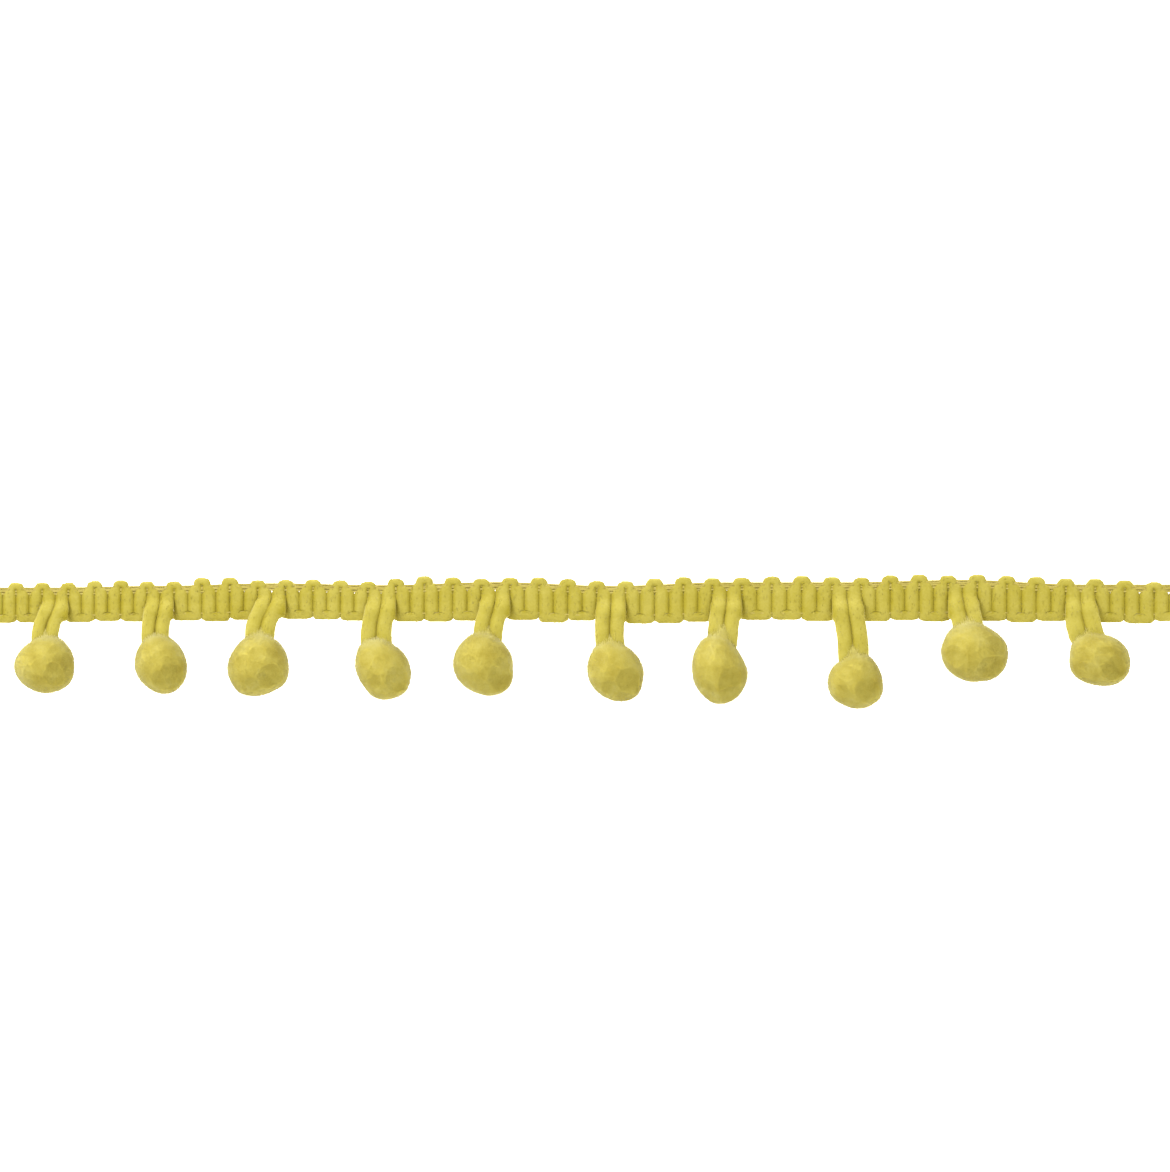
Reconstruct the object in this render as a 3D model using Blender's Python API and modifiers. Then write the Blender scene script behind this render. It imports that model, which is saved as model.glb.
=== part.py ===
"""A cut length of mini pompom fringe trim, lying face up on a level surface.

One soft cord runs up and down into a braid. Fine binding threads run along the braid, over the
cord's legs on the face and back under them, and hold them side by side. Every fourth foot of the
cord is a long loop: its two strands come forward over the braid's foot, hang below it, and hold
a dense sheared pompom on their turn.

+X runs along the trim, +Y to its scalloped edge, and +Z is up, out of its face. The origin is the
middle of the sewing line, under the head binding, on the surface that the trim lies on.
"""

import math
import random
from collections import namedtuple

import bmesh
import bpy
from mathutils import Matrix, Vector, noise

# Every size and place below is in millimetres. MM turns them into Blender's metres.
MM = 0.001
SEED = 7

# Cord, binding threads, and the air left between any two pieces
CORD_HALF_WIDE = 0.98
CORD_HALF_THICK = 0.76
CORD_SIDES = 6
NECK_PINCH = 0.82
THREAD_WIDE = 0.40
THREAD_THICK = 0.34
AIR = 0.30

# Heights above the surface: back thread, cord, face thread, then the strands that pass over it
STRAND_CLEARANCE = 0.05
BACK_THREAD_Z = THREAD_THICK / 2
CORD_Z = THREAD_THICK + AIR + CORD_HALF_THICK
FACE_THREAD_Z = CORD_Z + CORD_HALF_THICK + AIR + THREAD_THICK / 2
OVER_FOOT_Z = FACE_THREAD_Z + THREAD_THICK / 2 + AIR + CORD_HALF_THICK + STRAND_CLEARANCE
NECK_Z = 4.2

# The braid: how its turns are counted, how uneven they are, and where the bindings cross it
FEET_PER_REPEAT = 4
FEET_BEFORE = 2
FEET_AFTER = 3
ARC_STEPS = 4
TURN_SLACK = 0.18
BINDING_SLACK = 0.05
END_SLACK = 0.32
HEAD_SHARE = 0.32
FOOT_SHARE = 0.85
BINDINGS = {"binding_edge": 0.16, "binding_head": HEAD_SHARE, "binding_foot": FOOT_SHARE}

# The strands between the braid and a pompom
STRAND_STEPS = 7
STRAND_HANDLE = 0.42
RISE_BELOW_HEAD = 0.55
RISE_ABOVE_FOOT = 0.42

# Pompoms
POMPOM_SEGMENTS = 16
POMPOM_RINGS = 11
SHOULDER = math.radians(35)
DEPTH_SHARE = 0.96
PRESS = 0.35
LUMP = 0.20
LUMP_LENGTH = 4.5
LUMP_STEP = 3.1
NECK_WALL_WIDE = 0.40
NECK_WALL_THICK = 0.60
NECK_FILLET = 0.9
FLARE_SHARE = 0.6
TRIM_FIRMNESS = 0.85
POCKET_CHAMFER = 0.60
POCKET_OVERSHOOT = 1.0

# One row for each repeat of the trim, left to right:
#   loop_x        where the long loop leaves the braid
#   top, foot     the braid's scalloped edge and its foot edge there
#   neck_x, _y    where the strands go into the brushed neck of the pompom
#   spread        distance between the two strands there
#   ball_x, _y    middle of the ball
#   wide, long    the ball's size across the strands and along them
#   pear          how much fuller its lower half is than its upper half
#   trim_at, trim direction in degrees, and depth, of the side that was sheared flattest
Repeat = namedtuple(
    "Repeat", "loop_x top foot neck_x neck_y spread ball_x ball_y wide long pear trim_at trim"
)
REPEATS = (
    Repeat(-93.0, 1.90, -4.95, -94.8, -6.9, 2.0, -94.8, -12.5, 10.3, 10.0, 0.02, 230, 0.40),
    Repeat(-74.6, 2.20, -4.70, -75.3, -7.2, 2.0, -74.5, -12.2, 9.1, 10.2, 0.06, 225, 0.40),
    Repeat(-55.0, 2.65, -4.25, -57.1, -6.4, 2.0, -57.2, -12.4, 10.7, 10.4, 0.03, 238, 0.25),
    Repeat(-35.7, 2.35, -4.75, -36.6, -8.2, 2.9, -35.3, -13.1, 9.6, 10.3, 0.06, 225, 0.40),
    Repeat(-15.7, 2.90, -4.30, -16.9, -6.4, 2.0, -17.8, -12.4, 10.6, 10.5, 0.03, 228, 0.85),
    Repeat(4.6, 2.25, -5.10, 4.3, -8.0, 2.3, 5.35, -13.6, 9.7, 9.9, 0.05, 236, 0.85),
    Repeat(24.9, 2.90, -4.60, 24.2, -6.1, 2.4, 23.6, -13.4, 9.7, 11.2, 0.12, 230, 0.30),
    Repeat(46.0, 2.95, -4.75, 47.0, -9.3, 2.4, 47.3, -15.4, 9.9, 9.3, 0.03, 228, 0.35),
    Repeat(66.3, 3.40, -4.55, 67.5, -4.6, 2.4, 68.3, -10.3, 11.4, 10.0, 0.03, 255, 0.30),
    Repeat(87.0, 2.50, -4.85, 87.5, -6.3, 2.4, 90.3, -11.3, 10.5, 9.6, 0.02, 218, 0.30),
)

# Linear colours and roughness of the three yarns
CORD_COLOUR = (0.58, 0.49, 0.085)
THREAD_COLOUR = (0.60, 0.49, 0.15)
PILE_COLOUR = (0.61, 0.53, 0.10)
YARN_ROUGHNESS = 0.85
PILE_ROUGHNESS = 0.95

Foot = namedtuple("Foot", "x repeat")
BallFrame = namedtuple("BallFrame", "centre across along up lip")


def clear_scene():
    for obj in list(bpy.data.objects):
        bpy.data.objects.remove(obj, do_unlink=True)


def new_collection(name):
    collection = bpy.data.collections.new(name)
    bpy.context.scene.collection.children.link(collection)
    return collection


def new_material(name, colour, roughness):
    material = bpy.data.materials.new(name)
    material.use_nodes = True
    shader = material.node_tree.nodes["Principled BSDF"]
    shader.inputs["Base Color"].default_value = (*colour, 1.0)
    shader.inputs["Roughness"].default_value = roughness
    shader.inputs["Metallic"].default_value = 0.0
    material.diffuse_color = (*colour, 1.0)
    return material


def new_object(name, data, collection, material=None):
    obj = bpy.data.objects.new(name, data)
    collection.objects.link(obj)
    if material:
        data.materials.append(material)
    return obj


def new_guide(name, data, guides):
    """A cutter or a section: it shapes other objects and is never part of the trim."""
    guide = new_object(name, data, guides)
    guide.hide_render = True
    guide.display_type = "WIRE"
    return guide


def mesh_from(bm, name):
    bmesh.ops.recalc_face_normals(bm, faces=bm.faces)
    mesh = bpy.data.meshes.new(name)
    bm.to_mesh(mesh)
    bm.free()
    mesh.shade_smooth()
    return mesh


def smooth_step(t):
    t = min(max(t, 0.0), 1.0)
    return t * t * (3 - 2 * t)


def smooth_max(a, b, fillet):
    """The larger of two sizes, with the corner where they change over rounded off."""
    return (a + b + math.sqrt((a - b) ** 2 + fillet**2)) / 2


def lerp(a, b, t):
    return a + (b - a) * t


def between_repeats(x, column):
    """A column of the table at any x, eased from row to row and held level past the ends."""
    for left, right in zip(REPEATS, REPEATS[1:]):
        if x <= right.loop_x:
            share = smooth_step((x - left.loop_x) / (right.loop_x - left.loop_x))
            return lerp(getattr(left, column), getattr(right, column), share)
    return getattr(REPEATS[-1], column)


def row_y(x, share):
    """y of a line that runs along the braid at this share of the way from its top to its foot."""
    return lerp(between_repeats(x, "top"), between_repeats(x, "foot"), share)


def feet_of_cord():
    """Every foot of the cord from left to right. A long one names its row of the table."""
    steps = [(b.loop_x - a.loop_x) / FEET_PER_REPEAT for a, b in zip(REPEATS, REPEATS[1:])]
    feet = [Foot(REPEATS[0].loop_x - n * steps[0], None) for n in range(FEET_BEFORE, 0, -1)]
    for row, step in zip(REPEATS, steps + [steps[-1]]):
        feet.append(Foot(row.loop_x, row))
        short_feet = FEET_AFTER if row is REPEATS[-1] else FEET_PER_REPEAT - 1
        feet += [Foot(row.loop_x + n * step, None) for n in range(1, short_feet + 1)]
    return feet


def turns_of(feet):
    """x of the scallop before each foot and after the last, and each scallop's half width."""
    xs = [foot.x for foot in feet]
    xs = [2 * xs[0] - xs[1]] + xs + [2 * xs[-1] - xs[-2]]
    return [((a + b) / 2, (b - a) / 4) for a, b in zip(xs, xs[1:])]


def arc(x, y, radius, start):
    """Half a turn of the cord, flat in the braid, from start degrees on."""
    sweep = -180 if start == 180 else 180
    angles = [math.radians(start + sweep * n / ARC_STEPS) for n in range(ARC_STEPS + 1)]
    return [Vector((x + radius * math.cos(a), y + radius * math.sin(a), CORD_Z)) for a in angles]


def ball_frame(row):
    """Middle and directions of a pompom, with the distance from its middle to its neck's lip."""
    depth = DEPTH_SHARE * (row.wide + row.long) / 2
    centre = Vector((row.ball_x, row.ball_y, depth / 2 - PRESS))
    neck = Vector((row.neck_x, row.neck_y, NECK_Z)) - centre
    along = neck.normalized()
    across = along.cross(Vector((0, 0, 1))).normalized()
    return BallFrame(centre, across, along, across.cross(along), neck.length)


def strand(row, half_leg, side):
    """One strand of a long loop, as places and girths from below the head binding to the neck."""
    frame = ball_frame(row)
    rise_from = row_y(row.loop_x, HEAD_SHARE) - RISE_BELOW_HEAD
    rise_to = row_y(row.loop_x, FOOT_SHARE) + RISE_ABOVE_FOOT
    start = Vector((row.loop_x + side * half_leg, rise_from, CORD_Z))
    end = frame.centre + frame.along * frame.lip + frame.across * (side * row.spread / 2)
    reach = STRAND_HANDLE * (end - start).length
    leave = start - Vector((0, reach, 0))
    arrive = end + frame.along * reach
    points = []
    for n in range(STRAND_STEPS + 1):
        t = n / STRAND_STEPS
        point = start.lerp(leave, t).lerp(leave.lerp(arrive, t), t)
        point = point.lerp(leave.lerp(arrive, t).lerp(arrive.lerp(end, t), t), t)
        rise = smooth_step((rise_from - point.y) / (rise_from - rise_to))
        settle = smooth_step((rise_to - point.y) / (rise_to - end.y))
        point.z = lerp(lerp(CORD_Z, OVER_FOOT_Z, rise), end.z, settle)
        points.append((point, lerp(1.0, NECK_PINCH, smooth_step(t))))
    return points


def long_loop(row, half_leg):
    """Down one strand, round the turn in the middle of the pompom, and up the other strand."""
    frame = ball_frame(row)
    radius = row.spread / 2
    turn = []
    for n in range(ARC_STEPS + 1):
        angle = math.pi * (1 + n / ARC_STEPS)
        across = frame.across * (radius * math.cos(angle))
        place = frame.centre + across + frame.along * (radius * math.sin(angle))
        turn.append((place, NECK_PINCH))
    down = strand(row, half_leg, -1)
    up = strand(row, half_leg, 1)
    return down + turn + up[::-1]


def cord_route(feet):
    """Places along the middle of the whole cord, each with its girth, from cut end to cut end."""
    chance = random.Random(SEED)
    turns = turns_of(feet)
    first_x, first_half = turns[0]
    last_x, last_half = turns[-1]
    route = [(Vector((first_x - first_half, row_y(first_x, FOOT_SHARE), CORD_Z)), 1.0)]
    for number, (x, half) in enumerate(turns):
        slack = chance.uniform(-TURN_SLACK, TURN_SLACK)
        top = between_repeats(x, "top") + slack - CORD_HALF_WIDE
        route += [(place, 1.0) for place in arc(x, top - half, half, 180)]
        if number == len(feet):
            break
        foot = feet[number]
        half_leg = (half + turns[number + 1][1]) / 2
        if foot.repeat:
            route += long_loop(foot.repeat, half_leg)
            continue
        slack = chance.uniform(-TURN_SLACK, TURN_SLACK)
        low = between_repeats(foot.x, "foot") + slack + CORD_HALF_WIDE
        route += [(place, 1.0) for place in arc(foot.x, low + half_leg, half_leg, -180)]
    route.append((Vector((last_x + last_half, row_y(last_x, FOOT_SHARE), CORD_Z)), 1.0))
    return route


def make_cord_profile(guides):
    """The cord's section: a hexagon, wider than thick, as the bindings squash the yarn."""
    hexagon_top = math.sin(math.pi / 3)
    curve = bpy.data.curves.new("cord_profile", "CURVE")
    curve.dimensions = "2D"
    spline = curve.splines.new("POLY")
    spline.points.add(CORD_SIDES - 1)
    spline.use_cyclic_u = True
    for number, point in enumerate(spline.points):
        angle = -2 * math.pi * number / CORD_SIDES
        wide = CORD_HALF_WIDE * math.cos(angle)
        thick = CORD_HALF_THICK * math.sin(angle) / hexagon_top
        point.co = (wide * MM, thick * MM, 0.0, 1.0)
    return new_guide("cord_profile", curve, guides)


def make_cord(feet, collection, guides, material):
    """The whole cord as one curve, thinner where the pompoms' ties pinch it."""
    curve = bpy.data.curves.new("gimp_cord", "CURVE")
    curve.dimensions = "3D"
    curve.twist_mode = "Z_UP"
    curve.bevel_mode = "OBJECT"
    curve.bevel_object = make_cord_profile(guides)
    curve.use_fill_caps = True
    route = cord_route(feet)
    spline = curve.splines.new("POLY")
    spline.points.add(len(route) - 1)
    spline.use_smooth = True
    for point, (place, girth) in zip(spline.points, route):
        point.co = (*(place * MM), 1.0)
        point.radius = girth
    return new_object("gimp_cord", curve, collection, material)


def end_turn(x, side):
    """The binding's way round the last leg of the cord, at one end of the braid."""
    radius = (FACE_THREAD_Z - CORD_Z) / math.cos(math.pi / (2 * ARC_STEPS)) + END_SLACK
    angles = [math.pi * n / ARC_STEPS for n in range(1, ARC_STEPS)]
    turn = [(x + side * radius * math.sin(a), CORD_Z + radius * math.cos(a)) for a in angles]
    return turn if side > 0 else turn[::-1]


def binding_route(feet, share):
    """Points (x, y, z) of one binding, along the face to the right and along the back again."""
    chance = random.Random(f"{SEED}{share}")
    turns = turns_of(feet)
    legs = [x + side * half for x, half in turns for side in (-1, 1)]
    route = []
    for x in legs:
        slack = chance.uniform(-BINDING_SLACK, BINDING_SLACK)
        route.append((x, row_y(x, share) + slack, FACE_THREAD_Z))
    route += [(x, row_y(x, share), z) for x, z in end_turn(legs[-1], 1)]
    route += [(x, row_y(x, share), BACK_THREAD_Z) for x in legs[::-2]]
    route += [(x, row_y(x, share), z) for x, z in end_turn(legs[0], -1)]
    return route


def make_binding(name, share, feet, collection, material):
    """One binding: a closed belt along its route, as wide and thick as the thread."""
    bm = bmesh.new()
    rim = []
    for x, y, z in binding_route(feet, share):
        rim.append(bm.verts.new(Vector((x, y - THREAD_WIDE / 2, z)) * MM))
    edges = [bm.edges.new((a, b)) for a, b in zip(rim, rim[1:] + rim[:1])]
    grown = bmesh.ops.extrude_edge_only(bm, edges=edges)["geom"]
    moved = [item for item in grown if isinstance(item, bmesh.types.BMVert)]
    bmesh.ops.translate(bm, verts=moved, vec=(0, THREAD_WIDE * MM, 0))
    obj = new_object(name, mesh_from(bm, name), collection, material)
    solidify = obj.modifiers.new("thickness", "SOLIDIFY")
    solidify.thickness = THREAD_THICK * MM
    solidify.offset = 0.0
    solidify.use_even_offset = True
    return obj


def pocket_half_sizes(row):
    """Half width and half thickness of the pocket that holds the cord's turn."""
    return row.spread / 2 + NECK_PINCH * CORD_HALF_WIDE + AIR, NECK_PINCH * CORD_HALF_THICK + AIR


def pompom_ring(row, lip, ring):
    """Place along the pompom's axis, half width and half depth of one of its rings.

    Ring 0 is the middle of the neck's lip, ring 1 the lip's rim and ring 2 the neck itself. The
    others go down the ball, and the neck flares into the first of them.
    """
    pocket_wide, pocket_thick = pocket_half_sizes(row)
    neck_wide = pocket_wide + NECK_WALL_WIDE
    neck_thick = pocket_thick + NECK_WALL_THICK
    if ring < 2:
        return lip, neck_wide * ring, neck_thick * ring
    half_long = row.long / 2
    turn = lerp(SHOULDER, math.pi, max(ring - 3, 0) / (POMPOM_RINGS - 3))
    place = half_long * math.cos(turn)
    if ring == 2:
        place = (place + lip) / 2
    share = min(max(place / half_long, -1.0), 1.0)
    round_off = math.sqrt(1 - share**2)
    ball_wide = row.wide / 2 * round_off * (1 - row.pear * share)
    ball_thick = DEPTH_SHARE * (row.wide + row.long) / 4 * round_off
    fade = smooth_step(share / FLARE_SHARE)
    if fade == 0:
        return place, ball_wide, ball_thick
    fillet = NECK_FILLET * fade
    return (
        place,
        smooth_max(ball_wide, neck_wide * fade, fillet),
        smooth_max(ball_thick, neck_thick * fade, fillet),
    )


def sheared(point, row, number):
    """A point of the ball, seen from its middle, after the uneven shearing of its pile."""
    angle = math.radians(row.trim_at)
    side = Vector((math.cos(angle), math.sin(angle), 0))
    over = point.dot(side) - ((row.wide + row.long) / 4 - row.trim)
    if over > 0:
        point = point - side * (over * TRIM_FIRMNESS)
    lump = noise.noise(point / LUMP_LENGTH + Vector((number * LUMP_STEP, 0, 0)))
    return point + point.normalized() * (lump * LUMP)


def make_pompom(number, row, collection, guides, material):
    """One pompom: a sphere drawn out ring by ring into its neck, flat where it rests, with a
    pocket for the cord."""
    name = f"pompom_{number:02d}"
    frame = ball_frame(row)
    bm = bmesh.new()
    bmesh.ops.create_uvsphere(
        bm, u_segments=POMPOM_SEGMENTS, v_segments=POMPOM_RINGS, radius=1.0
    )
    for vert in bm.verts:
        ring = round(math.acos(min(max(vert.co.z, -1.0), 1.0)) / math.pi * POMPOM_RINGS)
        angle = math.atan2(vert.co.y, vert.co.x) + math.pi / POMPOM_SEGMENTS
        place, wide, thick = pompom_ring(row, frame.lip, ring)
        point = frame.across * (wide * math.cos(angle)) + frame.up * (thick * math.sin(angle))
        point += frame.along * place
        if ring > 2:
            point = sheared(point, row, number)
        point.z = max(point.z, -frame.centre.z)
        vert.co = point * MM
    obj = new_object(name, mesh_from(bm, name), collection, material)
    obj.location = frame.centre * MM
    pocket = make_pocket(f"pocket_{number:02d}", row, frame, guides)
    cut = obj.modifiers.new("pocket", "BOOLEAN")
    cut.operation = "DIFFERENCE"
    cut.object = pocket
    return obj


def make_pocket(name, row, frame, guides):
    """The cutter of the slot in which the cord goes to the middle of the ball and turns."""
    half_wide, half_thick = pocket_half_sizes(row)
    low = -half_wide
    high = frame.lip + POCKET_OVERSHOOT
    bm = bmesh.new()
    bmesh.ops.create_cube(bm, size=1.0)
    size = Vector((2 * half_wide, high - low, 2 * half_thick))
    middle = Vector((0, (high + low) / 2, 0))
    for vert in bm.verts:
        vert.co = (vert.co * size + middle) * MM
    long_edges = [e for e in bm.edges if abs(e.verts[0].co.y - e.verts[1].co.y) > half_wide * MM]
    bmesh.ops.bevel(bm, geom=long_edges, offset=POCKET_CHAMFER * MM, segments=1, affect="EDGES")
    pocket = new_guide(name, mesh_from(bm, name), guides)
    turn = Matrix((frame.across, frame.along, frame.up)).transposed()
    pocket.matrix_world = Matrix.Translation(frame.centre * MM) @ turn.to_4x4()
    return pocket


def main():
    clear_scene()
    trim = new_collection("pompom_fringe_trim")
    guides = new_collection("cutters_and_guides")
    guides.hide_render = True
    cord_yarn = new_material("gimp_cord_yarn", CORD_COLOUR, YARN_ROUGHNESS)
    thread = new_material("binding_thread", THREAD_COLOUR, YARN_ROUGHNESS)
    pile = new_material("pompom_pile", PILE_COLOUR, PILE_ROUGHNESS)
    feet = feet_of_cord()
    make_cord(feet, trim, guides, cord_yarn)
    for name, share in BINDINGS.items():
        make_binding(name, share, feet, trim, thread)
    for number, row in enumerate(REPEATS, 1):
        make_pompom(number, row, trim, guides, pile)
    bpy.context.view_layer.update()


main()
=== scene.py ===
"""The looks of a cut length of mini pompom fringe trim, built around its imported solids.

One soft gimp cord runs up and down into a braid, held by rows of fine chain stitches, and its long
loops hold dense sheared pompoms. Each class below makes one of these in place of its plain solid,
by the same rules and the same table as the solids were made by.

Sizes are millimetres in the row frame: +X runs along the trim, +Y to its scalloped edge, and +Z up
out of its face. MM turns them into Blender's metres.
"""

import logging
import math
import random
from dataclasses import dataclass
from enum import Enum

import bmesh
import bpy
import numpy as np
from mathutils import Matrix, Vector, noise


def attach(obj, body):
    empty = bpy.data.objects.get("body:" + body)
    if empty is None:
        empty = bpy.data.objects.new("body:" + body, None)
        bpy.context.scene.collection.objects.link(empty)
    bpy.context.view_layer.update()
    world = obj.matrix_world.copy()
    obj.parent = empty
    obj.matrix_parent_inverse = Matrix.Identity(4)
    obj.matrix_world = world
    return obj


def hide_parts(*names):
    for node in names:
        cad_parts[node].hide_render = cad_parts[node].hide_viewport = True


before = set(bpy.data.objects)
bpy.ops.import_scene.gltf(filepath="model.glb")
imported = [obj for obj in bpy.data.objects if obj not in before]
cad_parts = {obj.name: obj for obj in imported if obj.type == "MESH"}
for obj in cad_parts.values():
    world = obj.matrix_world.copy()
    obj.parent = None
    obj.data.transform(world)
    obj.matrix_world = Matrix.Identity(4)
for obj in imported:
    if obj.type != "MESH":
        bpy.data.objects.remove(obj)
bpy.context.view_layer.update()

MM = 0.001
UP = Vector((0.0, 0.0, 1.0))
FLOOR_GAP = 0.02
BODY = "root"

Socket = bpy.types.NodeSocket
log = logging.getLogger("pompom_fringe_trim")


# ---- Where things lie ----


@dataclass(frozen=True)
class Repeat:
    """One repeat of the trim: its long loop, the braid's edges there, and its pompom.

    spread is the distance between the middles of its two strands where they enter the pompom.
    outline is how far the pompom reaches from its middle, seen from above, at every 30 degrees
    from 150 degrees left of its bottom to 150 degrees right of it.
    """

    loop_x: float
    top: float
    foot: float
    neck_x: float
    neck_y: float
    spread: float
    ball_x: float
    ball_y: float
    wide: float
    long: float
    outline: tuple[float, ...]


#   loop_x, top, foot, neck_x, neck_y, spread, ball_x, ball_y, wide, long
PLACES = (
    (-93.0, 1.90, -4.95, -94.7, -6.9, 2.25, -94.8, -12.5, 10.3, 10.0),
    (-74.6, 2.20, -4.70, -75.4, -7.2, 2.35, -74.5, -12.2, 9.1, 10.2),
    (-55.0, 2.65, -4.25, -57.0, -6.4, 2.50, -57.2, -12.4, 10.7, 10.4),
    (-35.7, 2.35, -4.75, -36.6, -8.2, 2.60, -35.3, -13.1, 9.6, 10.3),
    (-15.7, 2.90, -4.30, -16.95, -6.4, 2.45, -17.8, -12.4, 10.6, 10.5),
    (4.6, 2.25, -5.10, 4.35, -8.0, 2.45, 5.35, -13.6, 9.7, 9.9),
    (24.9, 2.90, -4.60, 24.25, -6.1, 2.55, 23.6, -13.4, 9.7, 11.2),
    (46.0, 2.95, -4.75, 47.0, -9.3, 2.60, 47.3, -15.4, 9.9, 9.3),
    (66.3, 3.40, -4.55, 67.1, -4.9, 2.60, 68.3, -10.3, 11.4, 10.0),
    (87.0, 2.50, -4.85, 87.7, -6.3, 3.00, 90.3, -11.3, 10.5, 9.6),
)
OUTLINES = (
    (4.60, 4.84, 5.21, 4.98, 4.60, 4.63, 4.93, 5.42, 5.28, 5.35, 5.31),
    (4.74, 4.44, 4.40, 4.46, 4.67, 5.11, 5.35, 4.93, 4.58, 4.58, 4.73),
    (5.11, 5.07, 5.37, 5.61, 5.72, 5.25, 5.12, 5.51, 5.25, 5.19, 5.20),
    (5.51, 5.12, 4.68, 4.63, 5.12, 5.21, 5.39, 4.89, 4.51, 4.40, 4.56),
    (5.54, 5.39, 5.33, 5.11, 4.81, 4.89, 5.56, 5.86, 5.21, 5.12, 5.03),
    (5.37, 5.11, 4.82, 4.68, 4.72, 5.07, 5.54, 5.05, 4.82, 4.67, 4.71),
    (6.12, 5.44, 4.82, 4.86, 5.16, 5.67, 5.58, 5.14, 4.91, 4.44, 4.83),
    (4.41, 4.63, 4.75, 4.70, 4.35, 4.46, 4.82, 5.19, 4.84, 4.84, 5.01),
    (5.59, 5.82, 5.77, 5.30, 4.96, 4.84, 5.53, 5.82, 5.74, 5.16, 4.94),
    (5.30, 5.32, 5.42, 4.81, 4.58, 4.93, 5.42, 5.19, 4.82, 4.32, 4.13),
)
REPEATS = tuple(Repeat(*place, outline) for place, outline in zip(PLACES, OUTLINES))

# The scalloped edge's height at each top turn, and the foot edge at each foot. Each long foot's
# place holds the braid's edge there, which the strands cross.
SCALLOP_TOPS = (
    2.10, 2.08, 2.06, 2.10, 2.40, 2.51, 2.31, 2.29, 2.96, 3.01, 2.51, 2.61, 2.67, 2.50, 2.30,
    2.79, 3.22, 3.02, 2.80, 2.99, 3.00, 2.74, 2.39, 2.36, 2.81, 3.07, 2.89, 2.99, 3.19, 3.27,
    3.07, 3.00, 3.39, 3.52, 3.36, 3.52, 3.29, 3.09, 2.81, 2.74, 2.49, 2.20, 2.25,
)
FOOT_LOWS = (
    -5.05, -4.95, -4.95, -4.90, -4.72, -4.80, -4.70, -4.61, -4.76, -4.50, -4.25, -4.35, -4.44,
    -4.65, -4.75, -4.80, -4.82, -4.65, -4.30, -4.53, -4.97, -4.62, -5.10, -5.15, -5.10, -4.85,
    -4.60, -4.51, -4.50, -4.72, -4.75, -4.75, -4.56, -4.78, -4.55, -4.70, -4.95, -4.72, -4.85,
    -4.95, -5.15, -4.77,
)


@dataclass(frozen=True)
class Foot:
    """One foot of the cord, and its lowest edge. A long one names its repeat."""

    x: float
    low: float
    repeat: Repeat | None


@dataclass(frozen=True)
class Turn:
    """One scallop: its middle, its highest edge and half the distance between its two legs."""

    x: float
    top: float
    half: float


def smooth_step(t: float) -> float:
    """Returns t eased at both ends of 0 to 1, and held outside them."""
    t = min(max(t, 0.0), 1.0)
    return t * t * (3 - 2 * t)


def lerp(a: float, b: float, t: float) -> float:
    """Returns the value at share t of the way from a to b."""
    return a + (b - a) * t


def signed_power(value: float, power: float) -> float:
    """Returns the value's size to the power, with its sign. Below 1, the power squares an arc."""
    return math.copysign(abs(value) ** power, value)


def smooth_max(a: float, b: float, fillet: float) -> float:
    """Returns the larger of two sizes, with the corner where they change over rounded off."""
    return (a + b + math.sqrt((a - b) ** 2 + fillet**2)) / 2


@dataclass(frozen=True)
class BraidLayout:
    """The braid's turns, its edges, and the heights of the cord's middle line.

    The cord lies at cord_z in the braid, at over_foot_z where a strand crosses the foot stitches,
    and at neck_z where it enters a pompom. It rises between rise_below_head under the head row
    and rise_above_foot over the foot row.
    """

    seed: int = 7
    feet_per_repeat: int = 4
    feet_before: int = 2
    feet_after: int = 3
    cord_z: float = 1.40
    over_foot_z: float = 3.20
    neck_z: float = 4.2
    head_share: float = 0.32
    foot_share: float = 0.85
    rise_below_head: float = 0.55
    rise_above_foot: float = 0.42

    def edge_y(self, x: float, column: str) -> float:
        """The braid's top or foot edge at any x.

        Args:
            x: place along the trim.
            column: "top" or "foot".

        Returns:
            The column's value there, eased from repeat to repeat and held level past the ends.
        """
        for left, right in zip(REPEATS, REPEATS[1:]):
            if x <= right.loop_x:
                share = smooth_step((x - left.loop_x) / (right.loop_x - left.loop_x))
                return lerp(getattr(left, column), getattr(right, column), share)
        return getattr(REPEATS[-1], column)

    def row_y(self, x: float, share: float) -> float:
        """Returns y at this share of the way from the braid's top edge to its foot edge."""
        return lerp(self.edge_y(x, "top"), self.edge_y(x, "foot"), share)

    def share_at(self, x: float, y: float) -> float:
        """Returns how far a place lies from the braid's top edge towards its foot edge."""
        top = self.edge_y(x, "top")
        return (top - y) / (top - self.edge_y(x, "foot"))

    def feet(self) -> list[Foot]:
        """Lays out the cord's feet: a long one for each pompom, and short ones between.

        Returns:
            Every foot from left to right.
        """
        steps = [(b.loop_x - a.loop_x) / self.feet_per_repeat for a, b in zip(REPEATS, REPEATS[1:])]
        before = range(self.feet_before, 0, -1)
        places = [(REPEATS[0].loop_x - n * steps[0], None) for n in before]
        for row, step in zip(REPEATS, steps + [steps[-1]]):
            places.append((row.loop_x, row))
            short = self.feet_after if row is REPEATS[-1] else self.feet_per_repeat - 1
            places += [(row.loop_x + n * step, None) for n in range(1, short + 1)]
        return [Foot(x, low, row) for (x, row), low in zip(places, FOOT_LOWS, strict=True)]

    def turns(self) -> list[Turn]:
        """Lays out the scallops, each halfway between two feet.

        Returns:
            The scallop before each foot and the one after the last.
        """
        xs = [foot.x for foot in self.feet()]
        xs = [2 * xs[0] - xs[1]] + xs + [2 * xs[-1] - xs[-2]]
        spans = zip(xs, xs[1:], SCALLOP_TOPS, strict=False)
        return [Turn((a + b) / 2, top, (b - a) / 4) for a, b, top in spans]


# ---- Node trees and finishes ----


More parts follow.
